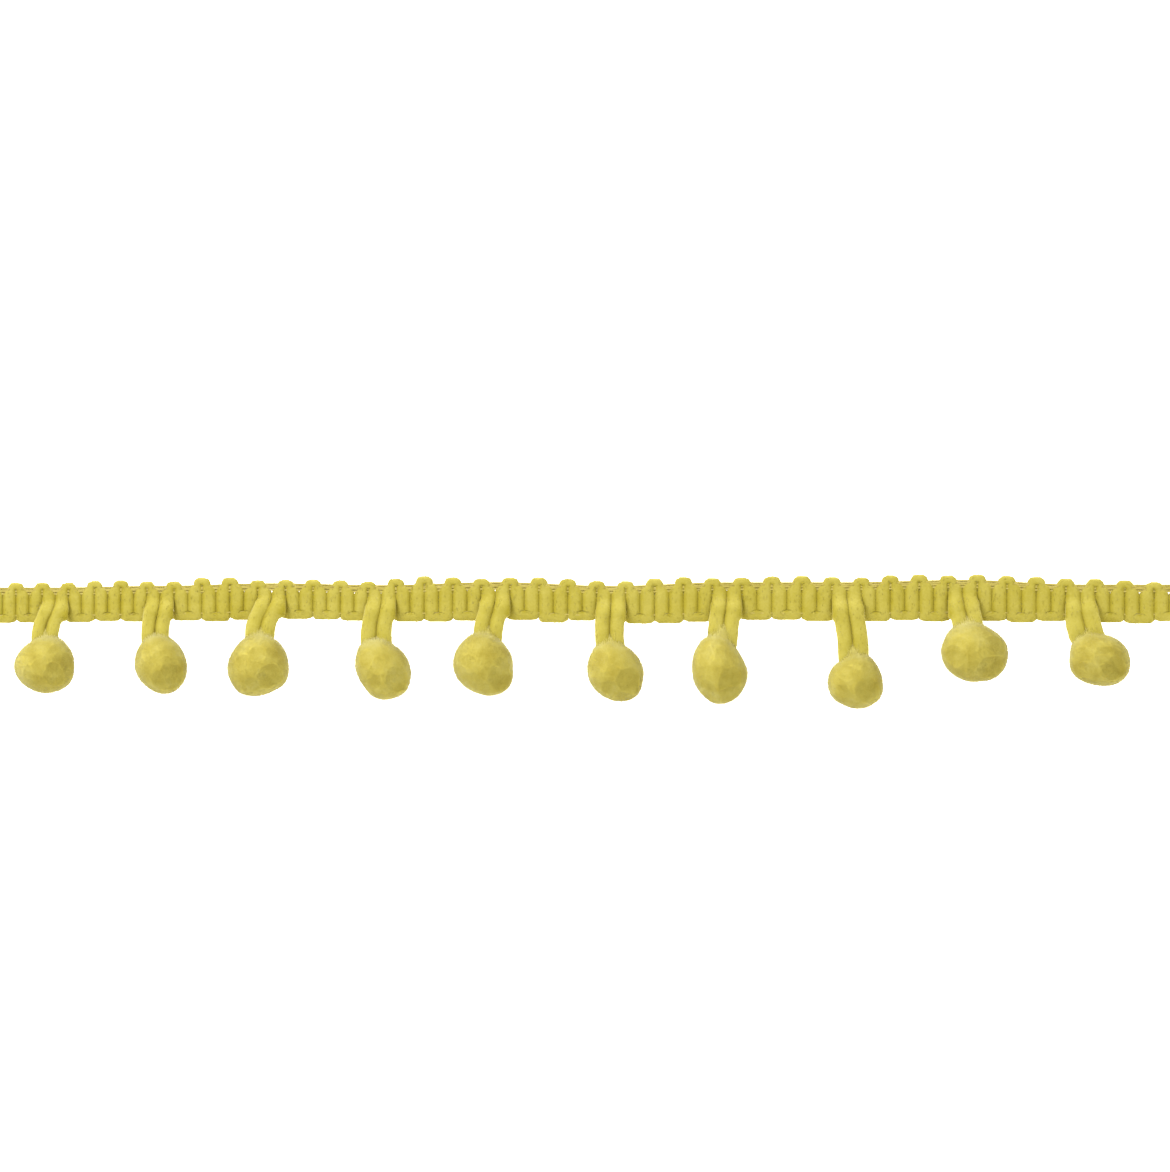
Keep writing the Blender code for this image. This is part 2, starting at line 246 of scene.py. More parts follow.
class NodeGraph:
    """A node tree in the making, in which each node gets its inputs as it is added."""

    def __init__(self, tree: bpy.types.NodeTree) -> None:
        """Starts on a tree that exists."""
        self.tree = tree

    @classmethod
    def group(
        cls, name: str, kind: str, inputs: dict[str, str], outputs: dict[str, str]
    ) -> "NodeGraph":
        """Starts a new node group.

        Args:
            name: the group's name.
            kind: the type of its tree.
            inputs: the type of each input socket by its name, without NodeSocket.
            outputs: the same for its output sockets.

        Returns:
            The group's empty graph.
        """
        tree = bpy.data.node_groups.new(name, kind)
        for in_out, sockets in (("INPUT", inputs), ("OUTPUT", outputs)):
            for label, socket in sockets.items():
                tree.interface.new_socket(
                    name=label, in_out=in_out, socket_type=f"NodeSocket{socket}"
                )
        return cls(tree)

    def fill(self, node: bpy.types.Node, inputs: dict | tuple) -> None:
        """Sets or links a node's inputs.

        Args:
            node: the node.
            inputs: a value, a socket or a list of sockets for each input, in order, or else by
                the input's name or number.
        """
        pairs = inputs.items() if isinstance(inputs, dict) else enumerate(inputs)
        for key, given in pairs:
            for item in given if isinstance(given, list) else [given]:
                if isinstance(item, Socket):
                    self.tree.links.new(item, node.inputs[key])
                else:
                    node.inputs[key].default_value = item

    def add(
        self, kind: str, inputs: dict | tuple = (), out: int | str = 0, **settings: object
    ) -> Socket:
        """Adds a node.

        Args:
            kind: its type.
            inputs: what goes into it, as for fill.
            out: the name or number of the output that is wanted.
            settings: the node's own properties, which are set first.

        Returns:
            That output.
        """
        node = self.tree.nodes.new(kind)
        for name, value in settings.items():
            setattr(node, name, value)
        self.fill(node, inputs)
        return node.outputs[out]

    def math(self, operation: str, *values: float | Socket, **settings: object) -> Socket:
        """Returns the result of one operation on sockets or numbers."""
        return self.add("ShaderNodeMath", values, operation=operation, **settings)

    def vector_math(self, operation: str, *values: Socket, **scale: Socket) -> Socket:
        """Returns the result of one vector operation, where Scale is a named input."""
        inputs = {**dict(enumerate(values)), **scale}
        return self.add("ShaderNodeVectorMath", inputs, "Vector", operation=operation)


class YarnTone:
    """The shader node group that every yarn here shares: soft blotches, fine fibres and depth.

    It reads Object coordinates; an attribute that is 0 at the root of a fibre and in the creases
    below it, where the group paints shade, and 1 at the fibre's free end and on open faces; and
    the attribute "lay", which brushed fibres have, and by which it paints brushed pile lighter.
    """

    NAME = "soft_yarn_tone"
    COLOURS = ("Shade", "Base", "Light")
    # Root is the tone of the painted shade at fibre roots and in creases.
    NUMBERS = ("Patch Scale", "Patch Contrast", "Grain Scale", "Grain Contrast", "Root", "Combed")
    PATCH_DETAIL = 2.0
    GRAIN_DETAIL = 3.0
    # The tone out of painted shade, at the free ends of fibres and on open faces.
    PAINTED_LIT_TONE = 0.62

    @classmethod
    def group(cls) -> bpy.types.NodeTree:
        """Returns the group, built on first use."""
        return bpy.data.node_groups.get(cls.NAME) or cls._build()

    @classmethod
    def _build(cls) -> bpy.types.NodeTree:
        """Builds the group.

        Returns:
            Its tree, with named inputs and outputs.
        """
        inputs = {**dict.fromkeys(cls.COLOURS, "Color"), **dict.fromkeys(cls.NUMBERS, "Float")}
        outputs = {"Color": "Color", "Height": "Float"}
        graph = NodeGraph.group(cls.NAME, "ShaderNodeTree", inputs, outputs)
        given = graph.tree.nodes.new("NodeGroupInput").outputs
        coords = graph.add("ShaderNodeTexCoord", out="Object")

        def fractal(name: str, detail: float) -> tuple[Socket, Socket]:
            """Adds a noise on Object coordinates, sized by the group's inputs.

            Args:
                name: the first word of the inputs' names.
                detail: how many finer layers it has.

            Returns:
                The noise, and the noise about zero, times its contrast.
            """
            size = {"Vector": coords, "Scale": given[f"{name} Scale"], "Detail": detail}
            plain = graph.add("ShaderNodeTexNoise", size, "Fac")
            centred = graph.math("SUBTRACT", plain, 0.5)
            return plain, graph.math("MULTIPLY", centred, given[f"{name} Contrast"])

        def read(name: str) -> Socket:
            """Returns one of the yarn's attributes."""
            return graph.add("ShaderNodeAttribute", (), "Fac", attribute_name=name)

        _, patches = fractal("Patch", cls.PATCH_DETAIL)
        grain, fine = fractal("Grain", cls.GRAIN_DETAIL)
        mottle = graph.math("ADD", patches, fine)
        # Painted shade: the tone falls from the lit tone to Root at fibre roots and in creases.
        levels = {"Value": read("tip"), "To Min": given["Root"], "To Max": cls.PAINTED_LIT_TONE}
        depth = graph.add("ShaderNodeMapRange", levels, "Result")
        # Painted light: brushed pile is painted lighter, to offset the shade that its lying fibres
        # make.
        combed = graph.math("MULTIPLY_ADD", read("lay"), given["Combed"], mottle)
        tone = graph.math("ADD", combed, depth, use_clamp=True)

        def blend(low: Socket, high: Socket, start: float) -> Socket:
            """Adds a colour mix over half of the tone's range.

            Args:
                low: the colour where the half starts.
                high: the colour where it ends.
                start: the tone where it starts.

            Returns:
                The mixed colour.
            """
            span = {"Value": tone, "From Min": start, "From Max": start + 0.5}
            share = graph.add("ShaderNodeMapRange", span, "Result")
            return graph.add("ShaderNodeMix", {0: share, 6: low, 7: high}, 2, data_type="RGBA")

        lower = blend(given["Shade"], given["Base"], 0.0)
        colour = blend(lower, given["Light"], 0.5)
        graph.fill(graph.tree.nodes.new("NodeGroupOutput"), {"Color": colour, "Height": grain})
        return graph.tree


def new_material(name: str) -> tuple[bpy.types.Material, NodeGraph, bpy.types.Node]:
    """Starts a material.

    Args:
        name: its name.

    Returns:
        The material, its graph and its shader node.
    """
    material = bpy.data.materials.new(name)
    material.use_nodes = True
    tree = material.node_tree
    return material, NodeGraph(tree), tree.nodes["Principled BSDF"]


class Slot(Enum):
    """The record's material slots."""

    CORD = "gimp_cord_yarn"
    THREAD = "binding_thread"
    PILE = "pompom_pile"


@dataclass(frozen=True)
class YarnFinish:
    """A yarn's linear colours, how they vary, and how it takes light."""

    slot: Slot
    # shade is the colour that the painted shade at roots and in creases tends to.
    shade: tuple[float, float, float]
    base: tuple[float, float, float]
    light: tuple[float, float, float]
    patch_scale: float
    patch_contrast: float
    grain_scale: float
    grain_contrast: float
    # root is the tone painted at fibre roots and in creases, as shade.
    root: float
    # How much lighter brushed pile is painted, as painted light against its shade.
    combed: float
    roughness: float
    sheen: float
    bump: float

    SPECULAR = 0.25
    SHEEN_ROUGHNESS = 0.45
    SHEEN_TINT = (1.0, 0.97, 0.85, 1.0)
    BUMP_DEPTH = 0.1

    def material(self) -> bpy.types.Material:
        """Makes the finish's material on first use.

        Returns:
            The material.
        """
        name = f"{self.slot.value}_finish"
        if name in bpy.data.materials:
            return bpy.data.materials[name]
        material, graph, shader = new_material(name)
        tone_inputs = {n: (*getattr(self, n.lower()), 1.0) for n in YarnTone.COLOURS}
        for label in YarnTone.NUMBERS:
            tone_inputs[label] = getattr(self, label.lower().replace(" ", "_"))
        group = YarnTone.group()
        colour = graph.add("ShaderNodeGroup", tone_inputs, "Color", node_tree=group)
        relief = {
            "Strength": self.bump,
            "Distance": self.BUMP_DEPTH * MM,
            "Height": colour.node.outputs["Height"],
        }
        surface = {
            "Base Color": colour,
            "Roughness": self.roughness,
            "Specular IOR Level": self.SPECULAR,
            "Sheen Weight": self.sheen,
            "Sheen Roughness": self.SHEEN_ROUGHNESS,
            "Sheen Tint": self.SHEEN_TINT,
            "Normal": graph.add("ShaderNodeBump", relief, "Normal"),
        }
        graph.fill(shader, surface)
        return material


CORD_FINISH = YarnFinish(
    slot=Slot.CORD,
    shade=(0.325, 0.27, 0.013),
    base=(0.395, 0.34, 0.045),
    light=(0.47, 0.415, 0.088),
    patch_scale=260.0,
    patch_contrast=0.7,
    grain_scale=2600.0,
    grain_contrast=0.5,
    root=0.05,
    combed=0.0,
    roughness=0.9,
    sheen=0.25,
    bump=0.6,
)
THREAD_FINISH = YarnFinish(
    slot=Slot.THREAD,
    shade=(0.335, 0.277, 0.045),
    base=(0.455, 0.38, 0.085),
    light=(0.53, 0.455, 0.135),
    patch_scale=420.0,
    patch_contrast=0.9,
    grain_scale=3600.0,
    grain_contrast=0.4,
    root=0.55,
    combed=0.0,
    roughness=0.8,
    sheen=0.15,
    bump=0.5,
)
PILE_FINISH = YarnFinish(
    slot=Slot.PILE,
    shade=(0.43, 0.34, 0.038),
    base=(0.59, 0.51, 0.10),
    light=(0.71, 0.645, 0.22),
    patch_scale=340.0,
    patch_contrast=1.0,
    grain_scale=2200.0,
    grain_contrast=0.3,
    root=0.42,
    combed=0.30,
    roughness=0.95,
    sheen=0.35,
    bump=0.5,
)


# ---- Helpers for making pieces ----


def select_only(obj: bpy.types.Object) -> None:
    """Deselects everything, then selects one object and makes it active.

    Args:
        obj: the object.
    """
    bpy.ops.object.select_all(action="DESELECT")
    obj.select_set(True)
    bpy.context.view_layer.objects.active = obj


def apply_modifier(obj: bpy.types.Object, modifier: bpy.types.Modifier) -> None:
    """Applies one modifier to obj's mesh."""
    select_only(obj)
    bpy.ops.object.modifier_apply(modifier=modifier.name)


def add_object(name: str, data: bpy.types.ID) -> bpy.types.Object:
    """Puts a new object in the scene.

    Args:
        name: its name.
        data: its mesh, curve, light or camera.

    Returns:
        The object.
    """
    obj = bpy.data.objects.new(name, data)
    bpy.context.scene.collection.objects.link(obj)
    return obj


def store(mesh: bpy.types.Mesh, name: str, values: list[float] | list[Vector]) -> None:
    """Stores an attribute of a mesh's vertices.

    Args:
        mesh: the mesh.
        name: the attribute's name.
        values: a number or a direction for each vertex.
    """
    if isinstance(values[0], Vector):
        attribute = mesh.attributes.new(name, "FLOAT_VECTOR", "POINT")
        attribute.data.foreach_set("vector", [c for vector in values for c in vector])
    else:
        mesh.attributes.new(name, "FLOAT", "POINT").data.foreach_set("value", values)


def shade_as_one(mesh: bpy.types.Mesh, share: float) -> None:
    """Turns the fibres' normals to the surface below them, so that a pile shades as one surface.

    Args:
        mesh: the covered yarn, with its attribute "ground".
        share: how far they turn, from 0 to 1.
    """
    ground = np.empty(len(mesh.vertices) * 3)
    mesh.attributes["ground"].data.foreach_get("vector", ground)
    own = np.empty(len(mesh.vertices) * 3)
    mesh.vertices.foreach_get("normal", own)
    mixed = (ground * share + own * (1 - share)).reshape(-1, 3)
    mixed /= np.linalg.norm(mixed, axis=1, keepdims=True)
    mesh.normals_split_custom_set_from_vertices(mixed)


def dress(obj: bpy.types.Object, finish: YarnFinish, *nodes: str) -> bpy.types.Object:
    """Gives a finished piece its material and ties it to the frame.

    Args:
        obj: the piece, with its place in its mesh.
        finish: the yarn it is made of.
        nodes: the solids that it stands for.

    Returns:
        The piece.
    """
    obj.data.materials.clear()
    obj.data.materials.append(finish.material())
    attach(obj, BODY)
    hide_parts(*nodes)
    log.info("%s: %d faces", obj.name, len(obj.data.polygons))
    return obj


class FibreShape(Enum):
    """The fibres that stand on a yarn: how many segments they have, and how far they bend."""

    CUT_END = (1, 0.0)
    LOOSE_END = (2, 0.35)

    @property
    def template_name(self) -> str:
        """Returns the name of the fibre that the others are copied from."""
        return f"fibre_{self.name.lower()}"

    def template(self) -> bpy.types.Object:
        """Makes one fibre, a unit long and a unit across its root, as a closed spike.

        Returns:
            The fibre, hidden and made once. Its attribute for painted shade runs from 0 at the
            root, which the yarn tone paints in shade, to 1 at the free end.
        """
        segments, bend = self.value
        if self.template_name in bpy.data.objects:
            return bpy.data.objects[self.template_name]
        bpy.ops.object.select_all(action="DESELECT")
        bpy.ops.mesh.primitive_cone_add(vertices=3, radius1=0.5, radius2=0.0, depth=1.0)
        fibre = bpy.context.object
        fibre.name = self.template_name
        bpy.ops.object.mode_set(mode="EDIT")
        bpy.ops.mesh.select_all(action="SELECT")
        bpy.ops.transform.translate(value=(0.0, 0.0, 0.5))
        for cut in range(1, segments):
            bpy.ops.mesh.select_all(action="SELECT")
            place = (0.0, 0.0, cut / segments)
            bpy.ops.mesh.bisect(plane_co=place, plane_no=(0.0, 0.0, 1.0))
        bpy.ops.object.mode_set(mode="OBJECT")
        # Height along the fibre: the yarn tone paints its root in shade and leaves its end lit.
        tip = fibre.data.attributes.new("tip", "FLOAT", "POINT")
        for vert, item in zip(fibre.data.vertices, tip.data):
            item.value = vert.co.z
            vert.co.x += bend * vert.co.z**2
        fibre.hide_render = True
        fibre.hide_viewport = True
        return fibre

    def remove_template(self) -> None:
        """Removes that fibre, if it was made."""
        if self.template_name in bpy.data.objects:
            bpy.data.objects.remove(bpy.data.objects[self.template_name])


@dataclass(frozen=True)
class FibreCover:
    """The fibres that cover a yarn, joined to it by a geometry node group.

    The group reads two attributes of the yarn's mesh: "comb", the direction in which its fibres
    are brushed, and "lay", how far they lie over into that direction. lying_length is a fibre's
    length where it lies flat, untidiness how far it leans about, and sink how deep its root is.
    """

    shape: FibreShape
    per_mm2: float
    length: float
    lying_length: float
    width: float
    untidiness: float
    sink: float

    NAME = "fibre_cover"
    NUMBERS = ("Density", "Length", "Lying Length", "Width", "Untidiness", "Sink", "Floor")
    LENGTH_RANGE = (0.65, 1.2)
    WIDTH_RANGE = (0.8, 1.2)
    LYING_TIDY = 0.7
    LEAN_SHIFT = 11
    TWIST_SHIFT = 23
    LENGTH_SHIFT = 37
    WIDTH_SHIFT = 41

    @classmethod
    def group(cls) -> bpy.types.NodeTree:
        """Returns the group, built on first use."""
        return bpy.data.node_groups.get(cls.NAME) or cls._build()

    @classmethod
    def _build(cls) -> bpy.types.NodeTree:
        """Builds the group.

        Returns:
            Its tree.
        """
        inputs = {"Yarn": "Geometry", "Fibre": "Object", **dict.fromkeys(cls.NUMBERS, "Float")}
        inputs["Seed"] = "Int"
        outputs = {"Covered": "Geometry"}
        graph = NodeGraph.group(cls.NAME, "GeometryNodeTree", inputs, outputs)
        add, calc, along = graph.add, graph.math, graph.vector_math
        given = graph.tree.nodes.new("NodeGroupInput").outputs

        def read(name: str, kind: str) -> Socket:
            """Returns one of the yarn's attributes."""
            wanted = {"Name": name}
            return add("GeometryNodeInputNamedAttribute", wanted, "Attribute", data_type=kind)

        def chance(low: float, high: float, shift: int, is_vector: bool = False) -> Socket:
            """Adds a random choice for each fibre.

            Args:
                low: the smallest value.
                high: the largest one.
                shift: what is added to the seed, so that no two choices are alike.
                is_vector: whether it is a vector of three such values.

            Returns:
                The random number or vector.
            """
            first, out, kind = (0, 0, "FLOAT_VECTOR") if is_vector else (2, 1, "FLOAT")
            ends = [(value,) * 3 if is_vector else value for value in (low, high)]
            seed = calc("ADD", given["Seed"], float(shift))
            span = {first: ends[0], first + 1: ends[1], "Seed": seed}
            return add("FunctionNodeRandomValue", span, out, data_type=kind)

        def with_ground(geometry: Socket, normal: Socket) -> Socket:
            """Stores the direction of the surface below as "ground".

            Args:
                geometry: the points or skin to store it on.
                normal: the direction.

            Returns:
                The geometry with its attribute.
            """
            wanted = {"Name": "ground", "Geometry": geometry, "Value": normal}
            settings = {"data_type": "FLOAT_VECTOR", "domain": "POINT"}
            return add("GeometryNodeStoreNamedAttribute", wanted, "Geometry", **settings)

        spread = {"Mesh": given["Yarn"], "Density": given["Density"], "Seed": given["Seed"]}
        roots = add("GeometryNodeDistributePointsOnFaces", spread, "Points")
        normal = roots.node.outputs["Normal"]

        lay = read("lay", "FLOAT")
        stand = along("SCALE", normal, Scale=calc("SUBTRACT", 1.0, lay))
        brushed = along("SCALE", read("comb", "FLOAT_VECTOR"), Scale=lay)
        loose = calc("SUBTRACT", 1.0, calc("MULTIPLY", lay, cls.LYING_TIDY))
        loose = calc("MULTIPLY", loose, given["Untidiness"])
        jitter = along("SCALE", chance(-1.0, 1.0, cls.LEAN_SHIFT, True), Scale=loose)
        direction = along("ADD", along("ADD", stand, brushed), jitter)
        upright = {"Vector": direction}
        align = add("FunctionNodeAlignRotationToVector", upright, "Rotation", axis="Z")
        about = add("ShaderNodeCombineXYZ", {"Z": chance(0.0, math.tau, cls.TWIST_SHIFT)})
        twist = add("FunctionNodeEulerToRotation", {"Euler": about}, "Rotation")
        turns = {"Rotation": align, "Rotate By": twist}
        spin = add("FunctionNodeRotateRotation", turns, "Rotation", rotation_space="LOCAL")

        longer = calc("SUBTRACT", given["Lying Length"], given["Length"])
        length = calc("ADD", given["Length"], calc("MULTIPLY", longer, lay))
        length = calc("MULTIPLY", length, chance(*cls.LENGTH_RANGE, cls.LENGTH_SHIFT))
        width = calc("MULTIPLY", given["Width"], chance(*cls.WIDTH_RANGE, cls.WIDTH_SHIFT))
        size = add("ShaderNodeCombineXYZ", (width, width, length))
        fibre = add("GeometryNodeObjectInfo", {"Object": given["Fibre"]}, "Geometry")
        planted = {
            "Points": with_ground(roots, normal),
            "Instance": fibre,
            "Rotation": spin,
            "Scale": size,
        }
        plant = add("GeometryNodeInstanceOnPoints", planted, "Instances")
        down = add("ShaderNodeCombineXYZ", {"Z": calc("MULTIPLY", given["Sink"], -1.0)})
        sunk = {"Instances": plant, "Translation": down, "Local Space": True}
        sink = add("GeometryNodeTranslateInstances", sunk, "Instances")
        real = add("GeometryNodeRealizeInstances", {"Geometry": sink}, "Geometry")

        skin = with_ground(given["Yarn"], add("GeometryNodeInputNormal"))
        joined = add("GeometryNodeJoinGeometry", {"Geometry": [real, skin]}, "Geometry")
        places = add("ShaderNodeSeparateXYZ", (add("GeometryNodeInputPosition"),), "X").node
        x, y, z = places.outputs
        lifted = add("ShaderNodeCombineXYZ", (x, y, calc("MAXIMUM", z, given["Floor"])))
        settled = {"Geometry": joined, "Position": lifted}
        covered = add("GeometryNodeSetPosition", settled, "Geometry")
        graph.fill(graph.tree.nodes.new("NodeGroupOutput"), {"Covered": covered})
        return graph.tree

    def cover(self, obj: bpy.types.Object, seed: int) -> None:
        """Covers a yarn with fibres, applies the result and shades it smooth.

        Args:
            obj: the yarn, with its attributes "comb" and "lay".
            seed: what sets its random choices.
        """
        # The modifier finds only a fibre that was there before it.
        fibre = self.shape.template()
        modifier = obj.modifiers.new("fibres", "NODES")
        modifier.node_group = self.group()
        values = {
            "Fibre": fibre,
            "Density": self.per_mm2 / MM**2,
            "Length": self.length * MM,
            "Lying Length": self.lying_length * MM,
            "Width": self.width * MM,
            "Untidiness": self.untidiness,
            "Sink": self.sink * MM,
            "Floor": FLOOR_GAP * MM,
            "Seed": seed,
        }
        for item in modifier.node_group.interface.items_tree:
            if item.in_out == "INPUT" and item.name in values:
                modifier[item.identifier] = values[item.name]
        apply_modifier(obj, modifier)
        obj.data.shade_smooth()


CORD_FUZZ = FibreCover(
    shape=FibreShape.LOOSE_END,
    per_mm2=0.9,
    length=0.5,
    lying_length=1.0,
    width=0.055,
    untidiness=0.35,
    sink=0.1,
)
THREAD_FUZZ = FibreCover(
    shape=FibreShape.CUT_END,
    per_mm2=3.5,
    length=0.40,
    lying_length=0.40,
    width=0.05,
    untidiness=0.5,
    sink=0.05,
)
POMPOM_PILE = FibreCover(
    shape=FibreShape.CUT_END,
    per_mm2=42.0,
    length=0.36,
    lying_length=0.9,
    width=0.11,
    untidiness=0.35,
    sink=0.08,
)


# ---- The gimp cord ----


@dataclass(frozen=True)
class TurnShape:
    """How the cord turns at one edge of the braid, in halves of the distance between its legs.

    fill is the cord's half width in the turn, deep the turn's reach past the legs' ends, and
    square how round its middle line is, with less than 1 for boxy. waist is half the width of
    that line, and shoulder the length over which the legs close in to it.
    """

    fill: float
    deep: float
    square: float
    waist: float = 1.0
    shoulder: float = 0.0


@dataclass(frozen=True)
class TurnCell:
    """The room in which one turn of the cord lies, between its neighbours.

    edge is the y of its outer edge, and side is 1 for a scallop and -1 for a foot. left and
    right are how far it reaches from its middle at that edge, and inside how far it does from
    start + over further in. Its outline is round by corner and square.
    """

    x: float
    edge: float
    side: int
    left: float
    right: float
    inside: float
    start: float
    over: float
    corner: float
    square: float

    def hold(self, place: Vector) -> Vector:
        """Keeps a place inside the turn's rounded outline.

        Args:
            place: a place on the cord's skin.

        Returns:
            The place, moved in if it lies outside.
        """
        depth = self.side * (self.edge - place.y)
        share = smooth_step((depth - self.start) / self.over)
        left = self.x - lerp(self.left, self.inside, share)
        right = self.x + lerp(self.right, self.inside, share)
        x = min(max(place.x, left), right)
        out = abs(2 * x - left - right) / (right - left)
        depth = max(depth, self.corner * out**self.square)
        return Vector((x, self.edge - self.side * depth, place.z))


@dataclass(frozen=True)
class CordPoint:
    """One place on the cord's middle line.

    wide is its half width, left and right the room to its neighbours on each side, slim its
    thickness beside the full cord's, and bound is 1 where the stitch rows hold it and 0 where it
    hangs free. In a turn, cell is the turn's own room. In a foot, the skin stays below the y of
    ceiling, and the painted crease shade keeps near the foot's middle. spill is how far its right
    side swells into room that a leaning strand leaves, and how far the painted crease shade on
    that side widens.
    """

    place: Vector
    wide: float
    left: float
    right: float
    slim: float
    bound: float
    cell: TurnCell | None = None
    ceiling: float | None = None
    spill: float = 0.0

    def towards(self, other: "CordPoint", t: float) -> "CordPoint":
        """Blends two points.

        Args:
            other: the next point.
            t: the share of the way to it.

        Returns:
            The point there.
        """
        names = ("wide", "left", "right", "slim", "bound", "spill")
        values = {name: lerp(getattr(self, name), getattr(other, name), t) for name in names}
        cell = self.cell if other.cell else None
        ceiling = None if other.ceiling is None else self.ceiling
        place = self.place.lerp(other.place, t)
        return CordPoint(place=place, cell=cell, ceiling=ceiling, **values)


@dataclass(frozen=True)
class StitchRow:
    """A row of stitches: its place from the braid's top edge, and how deep it sinks the cord.

    wide is the row's width, thread the thread's half width, and bury how far the thread lies
    below the cord's dented face. A row that stands for no solid in nodes is hidden in the cord,
    and only its dents show.
    """

    name: str
    share: float
    sink: float
    wide: float = 0.0
    thread: float = 0.0
    bury: float = 0.0
    nodes: tuple[str, ...] = ()

    @property
    def under_strands(self) -> bool:
        """Returns whether the strands of the long loops pass over the row."""
        return self.share > 0.5


#   name, share, sink, wide, thread, bury, nodes
STITCH_ROWS = (
    StitchRow("edge_stitches", 0.145, 0.04, 0.70, 0.16, 0.34, ("binding_edge",)),
    StitchRow("head_stitches", 0.237, 0.06, 0.80, 0.16, 0.32, ("binding_head",)),
    StitchRow("middle_dents", 0.56, 0.05),
    StitchRow("foot_stitches", 0.82, 0.05, 0.28, 0.07, 0.12, ("binding_foot",)),
)


@dataclass
class BallFrame:
    """Middle and directions of a pompom, with the distance from its middle to its neck's lip."""

    centre: Vector
    across: Vector
    along: Vector
    up: Vector
    lip: float

    DEPTH_SHARE = 0.96
    PRESS = 0.35

    @classmethod
    def of(cls, row: Repeat, layout: BraidLayout) -> "BallFrame":
        """Places a repeat's pompom as its solid is placed.

        Args:
            row: the repeat.
            layout: the braid it hangs from.

        Returns:
            The pompom's frame.
        """
        depth = cls.DEPTH_SHARE * (row.wide + row.long) / 2
        centre = Vector((row.ball_x, row.ball_y, depth / 2 - cls.PRESS))
        neck = Vector((row.neck_x, row.neck_y, layout.neck_z)) - centre
        along = neck.normalized()
        across = along.cross(UP).normalized()
        return cls(centre, across, along, across.cross(along), neck.length)


